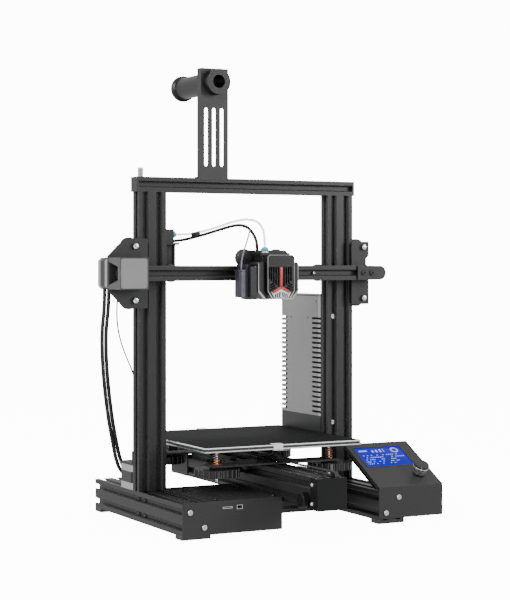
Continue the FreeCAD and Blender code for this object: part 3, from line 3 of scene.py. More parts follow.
import bmesh
import bpy
from bpy.props import FloatProperty, FloatVectorProperty, IntProperty, PointerProperty
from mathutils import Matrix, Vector


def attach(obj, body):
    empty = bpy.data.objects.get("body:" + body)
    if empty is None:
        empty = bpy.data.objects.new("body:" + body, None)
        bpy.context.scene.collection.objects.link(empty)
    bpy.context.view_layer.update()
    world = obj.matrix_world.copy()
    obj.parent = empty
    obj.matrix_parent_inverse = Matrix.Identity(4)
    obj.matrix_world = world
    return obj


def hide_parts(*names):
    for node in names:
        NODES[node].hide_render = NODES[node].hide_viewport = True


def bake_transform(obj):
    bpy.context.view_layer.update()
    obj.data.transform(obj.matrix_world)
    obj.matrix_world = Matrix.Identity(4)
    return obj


bl_info = {
    "name": "Filament printer finisher",
    "version": (1, 0, 0),
    "blender": (4, 5, 0),
    "location": "View3D > Sidebar > Printer",
    "description": "Dresses a filament printer's construction with finishes, cables and fine pieces",
    "category": "Object",
}

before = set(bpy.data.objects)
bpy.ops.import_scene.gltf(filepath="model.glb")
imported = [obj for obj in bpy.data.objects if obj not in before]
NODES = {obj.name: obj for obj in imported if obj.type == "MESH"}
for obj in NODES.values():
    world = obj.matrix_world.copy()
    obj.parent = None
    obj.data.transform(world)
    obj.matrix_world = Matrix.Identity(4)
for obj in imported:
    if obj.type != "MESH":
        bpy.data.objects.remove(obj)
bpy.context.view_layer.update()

# The construction is laid out from a datum between the uprights, in millimetres.
DATUM_X, DATUM_Y = 5.5, -8.5
UP, BACK, FRONT = Vector((0, 0, 1)), Vector((0, 1, 0)), Vector((0, -1, 0))
LEFT, RIGHT = Vector((-1, 0, 0)), Vector((1, 0, 0))

# The studio camera, its place in the construction's millimetres.
CAMERA_PLACE = (-1053.564, -2048.529, 351.79)
CAMERA_HEADING = math.radians(-27.417)
CAMERA_SHIFT = -0.0642

# The display's sloping panel: its lower left corner, its slope, and the screen's place on it.
PANEL_CORNER, PANEL_TILT = (124.5, -138.5, 49.2), math.radians(28)
SCREEN_LEFT, SCREEN_LOW, SCREEN_WIDTH, SCREEN_HEIGHT = 8.6, 48.6, 74, 45

# The bed's middle and how far its springs stand from it; the lift screw and its coupler's foot.
BED_X, BED_Y, SPRING_REACH = 3.3, 19, 85
LIFT_X, LIFT_Y, COUPLER_LOW = -144.5, 42, 82.5

# Places that tell one finish from another: the supply's paler front strip, the reel tube, the frame's flanks.
FRONT_STRIP_Y, PROBE_X, FLANK_REACH = (20, 27), -42.5, 166
REEL_X, REEL_Z, REEL_RADIUS = -52, 596, 19

# The grille's front plane, the middle of its red bar, and the hood's middle.
FACE, BAR, HOOD_X = -80, 7, 5.5


def at(x, y, z):
    """A point of the construction's own layout, in metres in the part's frame."""
    return Vector(((x - DATUM_X) / 1000, (y - DATUM_Y) / 1000, z / 1000))


def mm(length):
    return length / 1000


# --- shader maths

class Wire:
    """One shader value; arithmetic on it adds Math nodes to its finish."""

    def __init__(self, finish, socket):
        self.finish = finish
        self.socket = socket

    def _math(self, operation, first, second=None):
        values = {0: first} if second is None else {0: first, 1: second}
        return self.finish.add("ShaderNodeMath", {"operation": operation}, values)

    def __add__(self, other):
        return self._math("ADD", self, other)

    def __sub__(self, other):
        return self._math("SUBTRACT", self, other)

    def __rsub__(self, other):
        return self._math("SUBTRACT", other, self)

    def __mul__(self, other):
        return self._math("MULTIPLY", self, other)

    def __truediv__(self, other):
        return self._math("DIVIDE", self, other)

    def __gt__(self, other):
        return self._math("GREATER_THAN", self, other)

    def __lt__(self, other):
        return self._math("LESS_THAN", self, other)

    def fraction(self):
        return self._math("FRACT", self)

    def floor(self):
        return self._math("FLOOR", self)

    def absolute(self):
        return self._math("ABSOLUTE", self)

    def largest(self, other):
        return self._math("MAXIMUM", self, other)


class Finish:
    """A material being made: every node comes from add, and it ends in one principled shader."""

    def __init__(self, name, **constants):
        self.material = bpy.data.materials.new(name)
        self.material.use_nodes = True
        self.tree = self.material.node_tree
        self.shader = self.tree.nodes["Principled BSDF"]
        self.set(**constants)

    def add(self, kind, settings=None, values=None, output=0):
        node = self.tree.nodes.new(kind)
        for name, value in (settings or {}).items():
            setattr(node, name, value)
        for name, value in (values or {}).items():
            self._feed(node.inputs[name], value)
        return Wire(self, node.outputs[output])

    def _feed(self, socket, value):
        if isinstance(value, Wire):
            self.tree.links.new(value.socket, socket)
        elif isinstance(value, (tuple, list, Vector)) and socket.type == "RGBA" and len(value) == 3:
            socket.default_value = (*value, 1)
        else:
            socket.default_value = value

    def set(self, **values):
        """Set or link the principled shader's sockets, named with underscores; gives the material."""
        for name, value in values.items():
            self._feed(self.shader.inputs[name.replace("_", " ").title().replace("Ior", "IOR")], value)
        return self.material

    def place(self, axis=None):
        whole = self.add("ShaderNodeTexCoord", output="Object")
        if axis is None:
            return whole
        return self.add("ShaderNodeSeparateXYZ", values={0: whole}, output=axis)

    def within(self, axis, low, high):
        """One between two places of the construction's layout along an axis, nought beyond them."""
        along, index = self.place(axis), "XYZ".index(axis)
        return (along > at(low, low, low)[index]) * (along < at(high, high, high)[index])

    def noise(self, scale, detail=2.0, stretch=(1, 1, 1)):
        spot = self.add("ShaderNodeVectorMath", {"operation": "MULTIPLY"}, {0: self.place(), 1: stretch})
        return self.add("ShaderNodeTexNoise", None, {"Vector": spot, "Scale": scale, "Detail": detail},
                        output="Fac")

    def cells(self, scale):
        return self.add("ShaderNodeTexVoronoi", None, {"Vector": self.place(), "Scale": scale},
                        output="Distance")

    def between(self, value, low, high):
        """Stretch a value from low-high to nought-one, held at both ends."""
        return self.add("ShaderNodeMapRange", {"clamp": True},
                        {"Value": value, "From Min": low, "From Max": high})

    def mix(self, share, first, second):
        """A colour between two colours."""
        return self.add("ShaderNodeMix", {"data_type": "RGBA"}, {0: share, 6: first, 7: second}, output=2)

    def soft_edges(self, radius):
        """The normal that a small rounding of every edge would give."""
        return self.add("ShaderNodeBevel", {"samples": 4}, {"Radius": mm(radius)})

    def edge_mask(self, rounded):
        """One along rounded edges, nought on flat faces: where the painted edge highlights go."""
        flat = self.add("ShaderNodeNewGeometry", output="Normal")
        facing = self.add("ShaderNodeVectorMath", {"operation": "DOT_PRODUCT"}, {0: rounded, 1: flat},
                          output="Value")
        return self.between(1 - facing, 0.02, 0.2)

    def facing_up(self):
        normal = self.add("ShaderNodeNewGeometry", output="Normal")
        return self.add("ShaderNodeSeparateXYZ", values={0: normal}, output="Z")

    def bump(self, height, depth, normal=None, strength=1.0):
        values = {"Height": height, "Distance": mm(depth), "Strength": strength}
        if normal is not None:
            values["Normal"] = normal
        return self.add("ShaderNodeBump", None, values)


# --- finishes

def hard_finish(name, colour, roughness, metallic, grain, depth, edge_sheen, rounding=0.35, specular=0.5):
    """A coated or moulded hard surface: fine grain, uneven gloss, and edges painted lighter as a highlight."""
    made = Finish(name, metallic=metallic, specular_ior_level=specular)
    rounded = made.soft_edges(rounding)
    cloud, fine = made.noise(14, 4.0), made.noise(grain)
    dark = tuple(c * 0.86 for c in colour)
    pale = tuple(min(1.0, c * 1.15 + 0.002) for c in colour)
    # Painted highlight: a lighter copy of the colour, mixed in along the edges.
    sheen_colour = tuple(min(1.0, c * 1.6 + 0.05) for c in colour)
    return made.set(base_color=made.mix(made.edge_mask(rounded) * edge_sheen, made.mix(cloud, dark, pale), sheen_colour),
                    roughness=made.between(cloud * 0.5 + fine * 0.5, 0.2, 0.8) * 0.14 + (roughness - 0.07),
                    normal=made.bump(fine, depth, rounded))


def plain_plastic(name, colour, roughness=0.35):
    return hard_finish(name, colour, roughness, 0.0, 2000, 0.008, 0.1, 0.2)


def bare_metal(name, dull, bright, grain, detail=2.0, stretch=(1, 1, 1), roughness=0.25, spread=0.2,
               depth=0.006, rounding=0.25):
    """Bare metal with turning or drawing marks."""
    made = Finish(name, metallic=1.0)
    marks = made.noise(grain, detail, stretch)
    rounded = made.soft_edges(rounding) if rounding else None
    return made.set(base_color=made.mix(marks, dull, bright), roughness=marks * spread + roughness,
                    normal=made.bump(marks, depth, rounded))


def anodised_black():
    """Extruded aluminium, anodised black, with faint drawn streaks and a pale highlight painted along every
    edge.
    """
    made = Finish("anodised black", metallic=0.35, specular_ior_level=0.6)
    rounded = made.soft_edges(0.4)
    edge = made.edge_mask(rounded)
    streak = made.noise(420, 3.0)
    cloud = made.noise(9, 3.0)
    tone = made.mix(cloud, (0.012, 0.012, 0.0125), (0.02, 0.02, 0.0205))
    # Painted highlight: the edges are mixed towards pale grey.
    return made.set(base_color=made.mix(edge * 0.8, tone, (0.3, 0.3, 0.31)),
                    roughness=streak * 0.12 + cloud * 0.1 + 0.3,
                    normal=made.bump(streak, 0.006, rounded))


def supply_metal():
    """Grey sheet, paler on a strip along its front and dark in the seam under its top."""
    made = Finish("supply metal", metallic=0.35)
    drawn = made.noise(700, 3.0, stretch=(1, 1, 0.05))
    front_strip, seam = made.within("Y", *FRONT_STRIP_Y), made.within("Z", 302.4, 303.6)
    sheet = made.mix(drawn, (0.24, 0.24, 0.243), (0.29, 0.29, 0.294))
    sheet = made.mix(front_strip, sheet, made.mix(drawn, (0.4, 0.4, 0.405), (0.48, 0.48, 0.485)))
    return made.set(base_color=made.mix(seam, sheet, (0.03, 0.03, 0.03)), roughness=drawn * 0.15 + 0.42,
                    normal=made.bump(drawn, 0.008, made.soft_edges(0.3)))


def build_plate_top():
    """A coated glass plate: fine raised dots on its top; its edges dark, with a pale band painted along their
    top as a highlight.
    """
    made = Finish("coated glass", specular_ior_level=0.05)
    top = made.facing_up() > 0.7
    raised = made.between(made.cells(620), 0.25, 0.6)
    speckle = made.noise(260, 3.0)
    coated = made.mix(raised * 0.6 + speckle * 0.4, (0.02, 0.02, 0.021), (0.007, 0.007, 0.0072))
    # Painted highlight: a pale band along the top of the plate's edges.
    rim = made.place("Z") > mm(108.4)
    flank = made.mix(rim, (0.06, 0.065, 0.065), (0.85, 0.87, 0.87))
    return made.set(base_color=made.mix(top, flank, coated), roughness=top * 0.4 + speckle * 0.12 + 0.2,
                    normal=made.bump(raised * top, 0.03, made.soft_edges(0.3)))


def heater_plate():
    made = Finish("heater plate", metallic=1.0)
    drawn = made.noise(340, 3.0, stretch=(0.04, 0.04, 1))
    # Painted highlight and shade: a bright band round the plate's edge; the rest of the metal is painted near
    # black.
    line = made.within("Z", 103.6, 105.2)
    bright = made.mix(drawn, (0.75, 0.76, 0.77), (0.92, 0.92, 0.93))
    return made.set(base_color=made.mix(line, (0.04, 0.04, 0.04), bright), roughness=drawn * 0.2 + 0.22,
                    normal=made.bump(drawn, 0.01, made.soft_edges(0.3)))


def frame_screw():
    """Bright screws; those in the frame's flanks and the box's lid are blackened."""
    made = Finish("frame screw", metallic=1.0)
    flank = made.place("X").absolute() > mm(FLANK_REACH)
    lid = made.within("Z", 45, 51) * (made.place("Y") < at(0, -20, 0).y)
    turning = made.noise(1800, 2.0)
    bright = made.mix(turning, (0.55, 0.55, 0.56), (0.8, 0.8, 0.81))
    black = made.mix(turning, (0.03, 0.03, 0.03), (0.06, 0.06, 0.06))
    return made.set(base_color=made.mix(flank.largest(lid), bright, black), roughness=turning * 0.15 + 0.24,
                    normal=made.bump(turning, 0.008, made.soft_edges(0.25)))


def reel_holder():
    """Powder-coated bracket with a glossier moulded tube."""
    made = Finish("reel holder", specular_ior_level=0.45)
    across = made.place("X") - at(REEL_X, 0, 0).x
    rise = made.place("Z") - mm(REEL_Z)
    tube = (across * across + rise * rise) < mm(REEL_RADIUS) ** 2
    grain = made.noise(1500, 2.0)
    rounded = made.soft_edges(0.4)
    edge = made.edge_mask(rounded)
    # Painted highlight: the bracket's edges are mixed towards a lighter grey.
    coat = made.mix(edge * 0.5, (0.018, 0.018, 0.0185), (0.1, 0.1, 0.1))
    return made.set(base_color=made.mix(tube, coat, (0.005, 0.005, 0.0052)),
                    roughness=grain * 0.1 + 0.42 - tube * 0.14, normal=made.bump(grain, 0.012, rounded))


def probe_body():
    """Dark violet moulding with a lighter strip painted down its middle as a highlight."""
    made = Finish("probe body", specular_ior_level=0.4)
    across = (made.place("X") - at(PROBE_X, 0, 0).x).absolute()
    # Painted highlight: a lighter strip down the middle.
    middle_highlight = made.between(across, mm(3.4), mm(2.2))
    cloud = made.noise(120, 3.0)
    shell = made.mix(cloud, (0.018, 0.016, 0.026), (0.04, 0.036, 0.055))
    return made.set(base_color=made.mix(middle_highlight, shell, made.mix(cloud, (0.07, 0.07, 0.09), (0.16, 0.16, 0.19))),
                    roughness=cloud * 0.15 + 0.25, normal=made.bump(cloud, 0.02, made.soft_edges(0.8)))


def braided_sleeve():
    """A woven sleeve: two crossing sets of fine strands."""
    made = Finish("braided sleeve")
    strands = made.cells(1500)
    fuzz = made.noise(2200, 2.0)
    return made.set(base_color=made.mix(strands, (0.014, 0.014, 0.014), (0.004, 0.004, 0.004)),
                    roughness=fuzz * 0.2 + 0.5, normal=made.bump(strands * 0.7 + fuzz * 0.3, 0.05))


def feed_tube():
    """Slippery translucent white tube."""
    made = Finish("feed tube", transmission_weight=0.35, ior=1.38)
    cloud = made.noise(60, 3.0)
    return made.set(base_color=made.mix(cloud, (0.8, 0.83, 0.85), (0.94, 0.95, 0.96)),
                    roughness=cloud * 0.15 + 0.2, normal=made.bump(cloud, 0.01))


def circuit_green():
    """A board's green lacquer over fine tracks; the board behind the display is black."""
    made = Finish("circuit board")
    line = made.between(made.cells(420), 0.32, 0.36)
    fine = made.noise(700, 2.0)
    behind_display = made.place("X") > at(110, 0, 0).x
    green = made.mix(line, (0.012, 0.06, 0.03), (0.02, 0.11, 0.055))
    return made.set(base_color=made.mix(behind_display, green, (0.01, 0.01, 0.01)), roughness=fine * 0.2 + 0.25,
                    normal=made.bump(line, 0.02))


def display_glow(low_corner):
    """A blue display lit from behind, with plain rows of marks, a ring and rising bars."""
    made = Finish("display glow", roughness=0.3, specular_ior_level=0.1)
    left = (made.place("X") - low_corner.x) / mm(SCREEN_WIDTH)
    rise = (made.place("Z") - low_corner.z) / (mm(SCREEN_HEIGHT) * math.sin(PANEL_TILT))
    column, row = left * 24, rise * 9
    seed = made.add("ShaderNodeCombineXYZ", values={0: column.floor(), 1: row.floor()})
    drawn = made.add("ShaderNodeTexWhiteNoise", {"noise_dimensions": "2D"}, {"Vector": seed}, output="Value")
    in_cell = (column.fraction() < 0.66) * (row.fraction() < 0.42)
    rows = (rise > 0.12) * (rise < 0.62) * (left > 0.06) * (left < 0.95) * (left < rise * 0.9 + 0.55)
    dial_x, dial_y = (left - 0.83) * 1.6, rise - 0.8
    dial = dial_x * dial_x + dial_y * dial_y
    ring = (dial < 0.017) * (dial > 0.006)
    bars = ((left * 12).fraction() < 0.5) * (rise > 0.72) * (rise < left * 0.25 + 0.75)
    bars = bars * (left > 0.3) * (left < 0.6)
    title = (rise > 0.78) * (rise < 0.86) * (left > 0.06) * (left < 0.24)
    lit = ((drawn > 0.5) * in_cell * rows).largest(ring).largest(bars).largest(title)
    dots = (made.place("X") * 1500).fraction()
    return made.set(base_color=made.mix(lit, (0.0, 0.0, 0.03), (0.2, 0.2, 0.3)), emission_strength=1.0,
                    emission_color=made.mix(lit, (0.0, 0.0, 0.55), (0.32, 0.36, 0.9)),
                    normal=made.bump(dots, 0.005, strength=0.2))


FINISHES = {}


def mix_finishes():
    """Make every finish once. Hard finishes: colour, roughness, metallic, grain, its depth, painted edge
    highlight, rounding.
    """
    FINISHES.update({
        "powder": hard_finish("powder coat", (0.017, 0.017, 0.0175), 0.46, 0.0, 1500, 0.02, 0.5, 0.45, 0.38),
        "black": hard_finish("moulded black", (0.011, 0.011, 0.0115), 0.36, 0.0, 2600, 0.012, 0.4),
        "grey": hard_finish("moulded grey", (0.042, 0.042, 0.044), 0.46, 0.0, 2600, 0.012, 0.2),
        "belt": hard_finish("belt rubber", (0.012, 0.012, 0.012), 0.62, 0.0, 1200, 0.03, 0.1, 0.1),
        # The fan's own black, also painted shade: matte and without gloss so that the hood's hollow behind the
        # slots reads dark.
        "fan": hard_finish("fan black and painted shade", (0.001, 0.001, 0.001), 0.9, 0.0, 1500, 0.01, 0.0, specular=0.0),
        "hood": hard_finish("hood black", (0.009, 0.009, 0.0095), 0.34, 0.0, 2200, 0.01, 0.6, 0.5, 0.4),
        "tensioner": hard_finish("tensioner black", (0.004, 0.004, 0.0042), 0.3, 0.0, 2000, 0.008, 0.9, 0.4,
                                 0.25),
        "knurled": hard_finish("knurled black", (0.03, 0.03, 0.031), 0.25, 0.6, 1500, 0.01, 0.6, 0.3),
        "dark steel": hard_finish("dark steel", (0.05, 0.05, 0.05), 0.35, 0.8, 1500, 0.01, 0.3, 0.2),
        "gloss": hard_finish("gloss black", (0.008, 0.008, 0.008), 0.18, 0.0, 1500, 0.004, 0.3, 0.4),
        "wheel": hard_finish("rolling wheel", (0.02, 0.02, 0.021), 0.4, 0.0, 1800, 0.01, 0.15, 0.3),
        "red": plain_plastic("accent red", (0.55, 0.035, 0.03)),
        "blue": plain_plastic("fitting blue", (0.04, 0.45, 0.6), 0.3),
        "pale": plain_plastic("pale plastic", (0.75, 0.75, 0.74)),
        # Painted reflection: light grey for the hood's sloping lower band, where the floor would shine in it.
        "light": plain_plastic("painted reflection grey", (0.6, 0.6, 0.605), 0.4),
        "wire": plain_plastic("violet grey wire", (0.17, 0.15, 0.2), 0.4),
        # Painted highlight: the pale rim and flank lines round the hood's grille.
        "edge": plain_plastic("painted highlight edge", (0.4, 0.4, 0.405), 0.3),
        "label": plain_plastic("blank plate", (0.2, 0.2, 0.205), 0.45),
        "zinc": bare_metal("zinc screw", (0.52, 0.52, 0.53), (0.78, 0.78, 0.79), 1800, roughness=0.2,
                           spread=0.15, depth=0.008),
        "aluminium": bare_metal("bare aluminium", (0.62, 0.63, 0.64), (0.8, 0.8, 0.81), 500, 3.0,
                                (0.05, 1, 1)),
        "brass": bare_metal("turned brass", (0.5, 0.34, 0.13), (0.75, 0.55, 0.25), 1400, 2.0, (1, 1, 3),
                            0.22, rounding=0.2),
        "copper": bare_metal("copper spring", (0.42, 0.14, 0.05), (0.8, 0.36, 0.16), 180, 4.0, depth=0.01,
                             rounding=None),
        "anodised": anodised_black(), "supply": supply_metal(), "glass": build_plate_top(),
        "heater": heater_plate(), "sleeve": braided_sleeve(), "tube": feed_tube(),
        "circuit": circuit_green(), "violet": probe_body(), "frame screw": frame_screw(),
        "reel": reel_holder(),
    })


# --- mesh making

def link_mesh(name, sheet, material):
    """Turn a finished bmesh into a smooth-shaded object of the scene."""
    mesh = bpy.data.meshes.new(name)
    sheet.to_mesh(mesh)
    sheet.free()
    mesh.polygons.foreach_set("use_smooth", [True] * len(mesh.polygons))
    mesh.materials.append(material)
    made = bpy.data.objects.new(name, mesh)
    bpy.context.scene.collection.objects.link(made)
    return made


def new_piece(name, mesh_maker, body, finish_name, smooth_angle=35):
    """Make a piece and let it ride on its body; a cord has no one body."""
    sheet = bmesh.new()
    mesh_maker(sheet)
    bmesh.ops.recalc_face_normals(sheet, faces=sheet.faces)
    piece = link_mesh(name, sheet, FINISHES[finish_name])
    piece.data.set_sharp_from_angle(angle=math.radians(smooth_angle))
    if body is not None:
        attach(piece, body)
    return piece


def frame_of(axis):
    """Two directions square to an axis."""
    axis = axis.normalized()
    helper = Vector((0, 0, 1)) if abs(axis.z) < 0.9 else Vector((1, 0, 0))
    first = helper.cross(axis).normalized()
    return first, axis.cross(first).normalized()


def circle(centre, radius, sides, first, second):
    """Points round a centre, in the plane of two directions."""
    turns = [math.tau * i / sides for i in range(sides)]
    return [centre + (first * math.cos(turn) + second * math.sin(turn)) * radius for turn in turns]


def add_lathe(sheet, base, axis, profile, sides=32):
    """Turn a profile of (radius, distance along the axis), in millimetres, about an axis."""
    first, second = frame_of(axis)
    rings = []
    for radius, along in profile:
        centre = base + axis.normalized() * mm(along)
        points = circle(centre, mm(radius), sides, first, second) if radius else [centre]
        rings.append([sheet.verts.new(point) for point in points])
    for low, high in zip(rings, rings[1:]):
        for i in range(sides):
            j = (i + 1) % sides
            corners = [low[i % len(low)], low[j % len(low)], high[j % len(high)], high[i % len(high)]]
            unique = list(dict.fromkeys(corners))
            if len(unique) > 2:
                sheet.faces.new(unique)


def wall(sheet, low, high):
    """Faces between two loops of equal count."""
    faces = []
    for i in range(len(low)):
        j = (i + 1) % len(low)
        faces.append(sheet.faces.new((low[i], low[j], high[j], high[i])))
    return faces


def add_slab(sheet, outline, direction, thickness, bevel=0.0):
    """Push a flat outline of points along a direction, with its rims bevelled, all in metres."""
    low = [sheet.verts.new(point) for point in outline]
    high = [sheet.verts.new(point + direction.normalized() * thickness) for point in outline]
    faces = [sheet.faces.new(low), sheet.faces.new(list(reversed(high))), *wall(sheet, low, high)]
    if bevel:
        edges = list({edge for face in faces for edge in face.edges})
        bmesh.ops.bevel(sheet, geom=edges, offset=bevel, segments=2, profile=0.5, affect="EDGES")


def add_block(sheet, low, high, bevel=0.0):
    """A block between two corners given in the construction's own millimetres."""
    outline = [at(x, y, low[2]) for x, y in ((low[0], low[1]), (high[0], low[1]), (high[0], high[1]),
                                             (low[0], high[1]))]
    add_slab(sheet, outline, UP, mm(high[2] - low[2]), mm(bevel))


def on_face(pairs, y):
    """Points of an upright plane from their X and Z."""
    return [at(x, y, z) for x, z in pairs]


def add_mirrored(sheet, middle, outline, y, thickness):
    """A slab on either side of an upright middle line; the outline is in distance from it and Z."""
    for side in (-1, 1):
        add_slab(sheet, on_face([(middle + side * x, z) for x, z in outline], y), BACK, mm(thickness))


def rectangle(left, low, right, high):
    return [(left, low), (right, low), (right, high), (left, high)]


def add_pierced(sheet, outline, holes, direction, thickness):
    """A flat plate with holes: both faces are filled round the holes, then every loop gets its wall."""
    shift = direction.normalized() * thickness
    pairs = []
    for offset in (Vector((0, 0, 0)), shift):
        loops, edges = [], []
        for loop in (outline, *holes):
            corners = [sheet.verts.new(point + offset) for point in loop]
            edges += [sheet.edges.new((a, b)) for a, b in zip(corners, corners[1:] + corners[:1])]
            loops.append(corners)
        bmesh.ops.triangle_fill(sheet, use_beauty=True, use_dissolve=False, edges=edges, normal=direction)
        pairs.append(loops)
    for low, high in zip(*pairs):
        wall(sheet, low, high)


def add_hex(sheet, seat, axis, size, height):
    """A six-sided bolt head with a chamfered top; size is half its width across the flats."""
    corner = size * 1.15
    add_lathe(sheet, seat, axis, [(corner, 0), (corner, height * 0.85), (size, height), (0, height)], 6)


def join_rings(sheet, rings, closed=False):
    """Walls between rings of equal count; open rows are capped, closed ones run round to the first."""
    for low, high in zip(rings, rings[1:] + rings[:1] if closed else rings[1:]):
        wall(sheet, low, high)
    if not closed:
        sheet.faces.new(list(reversed(rings[0])))
        sheet.faces.new(rings[-1])


def add_tube(sheet, path, radius, sides=14):
    """A round tube that follows a path of points, its section carried along without twist."""
    first, _ = frame_of(path[1] - path[0])
    rings = []
    for index, point in enumerate(path):
        before = path[max(index - 1, 0)]
        after = path[min(index + 1, len(path) - 1)]
        heading = (after - before).normalized()
        first = (first - heading * first.dot(heading)).normalized()
        points = circle(point, radius, sides, first, heading.cross(first))
        rings.append([sheet.verts.new(spot) for spot in points])
    join_rings(sheet, rings)


def add_screw(sheet, seat, axis, head=3.0, height=2.2, socket=1.5):
    """A button-head screw with a six-sided socket, standing on its seat."""
    profile = [(head, 0), (head, height * 0.35), (head * 0.92, height * 0.65), (head * 0.7, height * 0.9),
               (socket * 1.25, height), (socket, height * 0.93), (socket, height * 0.35), (0, height * 0.35)]
    add_lathe(sheet, seat, axis, profile, 24)


def add_coil(sheet, base, height, mean_radius, wire, turns):
    """A spring with closed flat ends, standing on its base; sizes in millimetres."""
    steps = int(turns * 28)
    path = []
    for step in range(steps + 1):
        share = step / steps
        angle = math.tau * turns * share
        eased = min(1.0, max(0.0, (share - 0.09) / 0.82))
        level = wire + (height - 2 * wire) * eased
        path.append(base + Vector((math.cos(angle), math.sin(angle), 0)) * mm(mean_radius) + UP * mm(level))
    add_tube(sheet, path, mm(wire), 10)


# --- cords

FEED_TUBE_ROUTE = [(-87.2, 53.3, 389), (-74, 53.3, 389), (-62, 46, 390.8), (-51, 34, 394), (-40, 18, 399),
    (-29, -2, 405.5), (-17.5, -23, 409.5), (-8, -38, 407), (-4, -48, 397.5), (-3, -52, 383), (-3, -52, 367)]
HARNESS_ROUTE = [(-94.7, 68, 380), (-83, 68, 380), (-70, 60, 382), (-60, 48.5, 385.5), (-51.5, 35.5, 389),
    (-42.5, 20, 393.5), (-33, 2, 398.5), (-23, -13, 402), (-14.5, -24, 399), (-10.5, -34.5, 388.5),
    (-9.5, -42.4, 376.5), (-9.5, -42.4, 363.4)]
PROBE_WIRE_ROUTE = [(-14.3, -31.5, 396), (-19.5, -37, 388), (-26.5, -44.5, 378), (-34, -52, 368),
    (-40, -57.8, 357.5), (-42.6, -60.2, 350), (-42.6, -60.2, 340.6)]
MOTOR_CABLE_ROUTE = [(-208, 15, 314.8), (-208, 15, 292), (-210.5, 18, 262), (-207.5, 25, 230),
    (-202, 34, 200), (-194, 45, 166), (-184.5, 56, 132), (-175, 65, 102), (-168, 71, 80), (-159.5, 76, 64),
    (-146, 78.5, 56), (-131, 77.5, 53.5), (-117, 70, 47.5), (-110, 55, 36.5), (-109, 39, 25),
    (-109, 22, 25)]
FEEDER_CABLE_ROUTE = [(-202, 15, 314.8), (-202, 15, 292), (-204.7, 18, 262), (-201.8, 25, 230),
    (-196.3, 34, 200), (-188.3, 45, 166), (-178.8, 56, 132), (-169.5, 65, 102.5), (-162.8, 70.5, 83),
    (-155.5, 75, 69), (-144, 77.5, 61.7), (-129.5, 76.5, 59.2), (-112, 70, 51), (-103, 55, 36.5),
    (-102, 39, 25), (-102, 22, 25)]
SENSOR_WIRE_ROUTE = [(-192, 8, 314.8), (-192.6, 9, 297), (-191, 14, 276), (-185.5, 20, 254),
    (-175.5, 25, 230), (-165, 28.5, 211), (-158, 30.5, 195), (-155.3, 29, 182), (-155, 23, 174.5),
    (-155, 14, 174.5)]


def smooth_line(route):
    """Points read from one smooth spline that has the route as its control points."""
    curve = bpy.data.curves.new("route", "CURVE")
    curve.dimensions = "3D"
    curve.resolution_u = 10
    spline = curve.splines.new("NURBS")
    spline.points.add(len(route) - 1)
    for point, place in zip(spline.points, route):
        point.co = (*at(*place), 1)
    spline.order_u = 3
    spline.use_endpoint_u = True
    holder = bpy.data.objects.new("route", curve)
    bpy.context.scene.collection.objects.link(holder)
    line = bpy.data.meshes.new_from_object(holder)
    points = [vertex.co.copy() for vertex in line.vertices]
    bpy.data.objects.remove(holder)
    bpy.data.curves.remove(curve)
    bpy.data.meshes.remove(line)
    return points


# The two bodies at a cord's ends, and two places along its way.
HEAD_BEND = (("gantry", "tool_head"), (-82, 50, 388), (-8, -45, 388))
LIFT_BEND = (("machine_frame", "gantry"), (-200, 20, 75), (-200, 20, 300))
WIRE_BEND = (("machine_frame", "gantry"), (-190, 10, 185), (-190, 10, 300))

# Name, route, radius setting, bend, the node that the cord stands for, finish, slot and stiffness.
CORDS = (
    ("feed_tube", FEED_TUBE_ROUTE, "tube_radius", HEAD_BEND, "bowden_tube", "tube", "tube_white", "medium"),
    ("head_harness", HARNESS_ROUTE, "harness_radius", HEAD_BEND, "hotend_harness"),
    ("probe_wire", PROBE_WIRE_ROUTE, "wire_radius", HEAD_BEND, "hotend_harness", "wire"),
    ("cross_motor_cable", MOTOR_CABLE_ROUTE, "cable_radius", LIFT_BEND, "gantry_cable"),
    ("feeder_cable", FEEDER_CABLE_ROUTE, "cable_radius", LIFT_BEND, "gantry_cable"),
    ("end_stop_wire", SENSOR_WIRE_ROUTE, "wire_radius", WIRE_BEND, "gantry_cable"),
)


def bend_between(piece, bodies, bend_from, bend_to):
    tuple(at(*bend_from))
    tuple(at(*bend_to))
    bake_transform(piece)


def lay_cord(name, route, radius_setting, bend, node, finish_name="sleeve", slot_name="cable_black",
             stiffness="limp"):
    """A cord between two bodies: a tube along its smooth line."""
    path = smooth_line(route)
    radius = mm(getattr(sizes(), radius_setting))
    piece = new_piece(name, lambda sheet: add_tube(sheet, path, radius), None, finish_name, 60)
    bend_between(piece, *bend)
    2 * radius
    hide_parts(node)


# --- settings

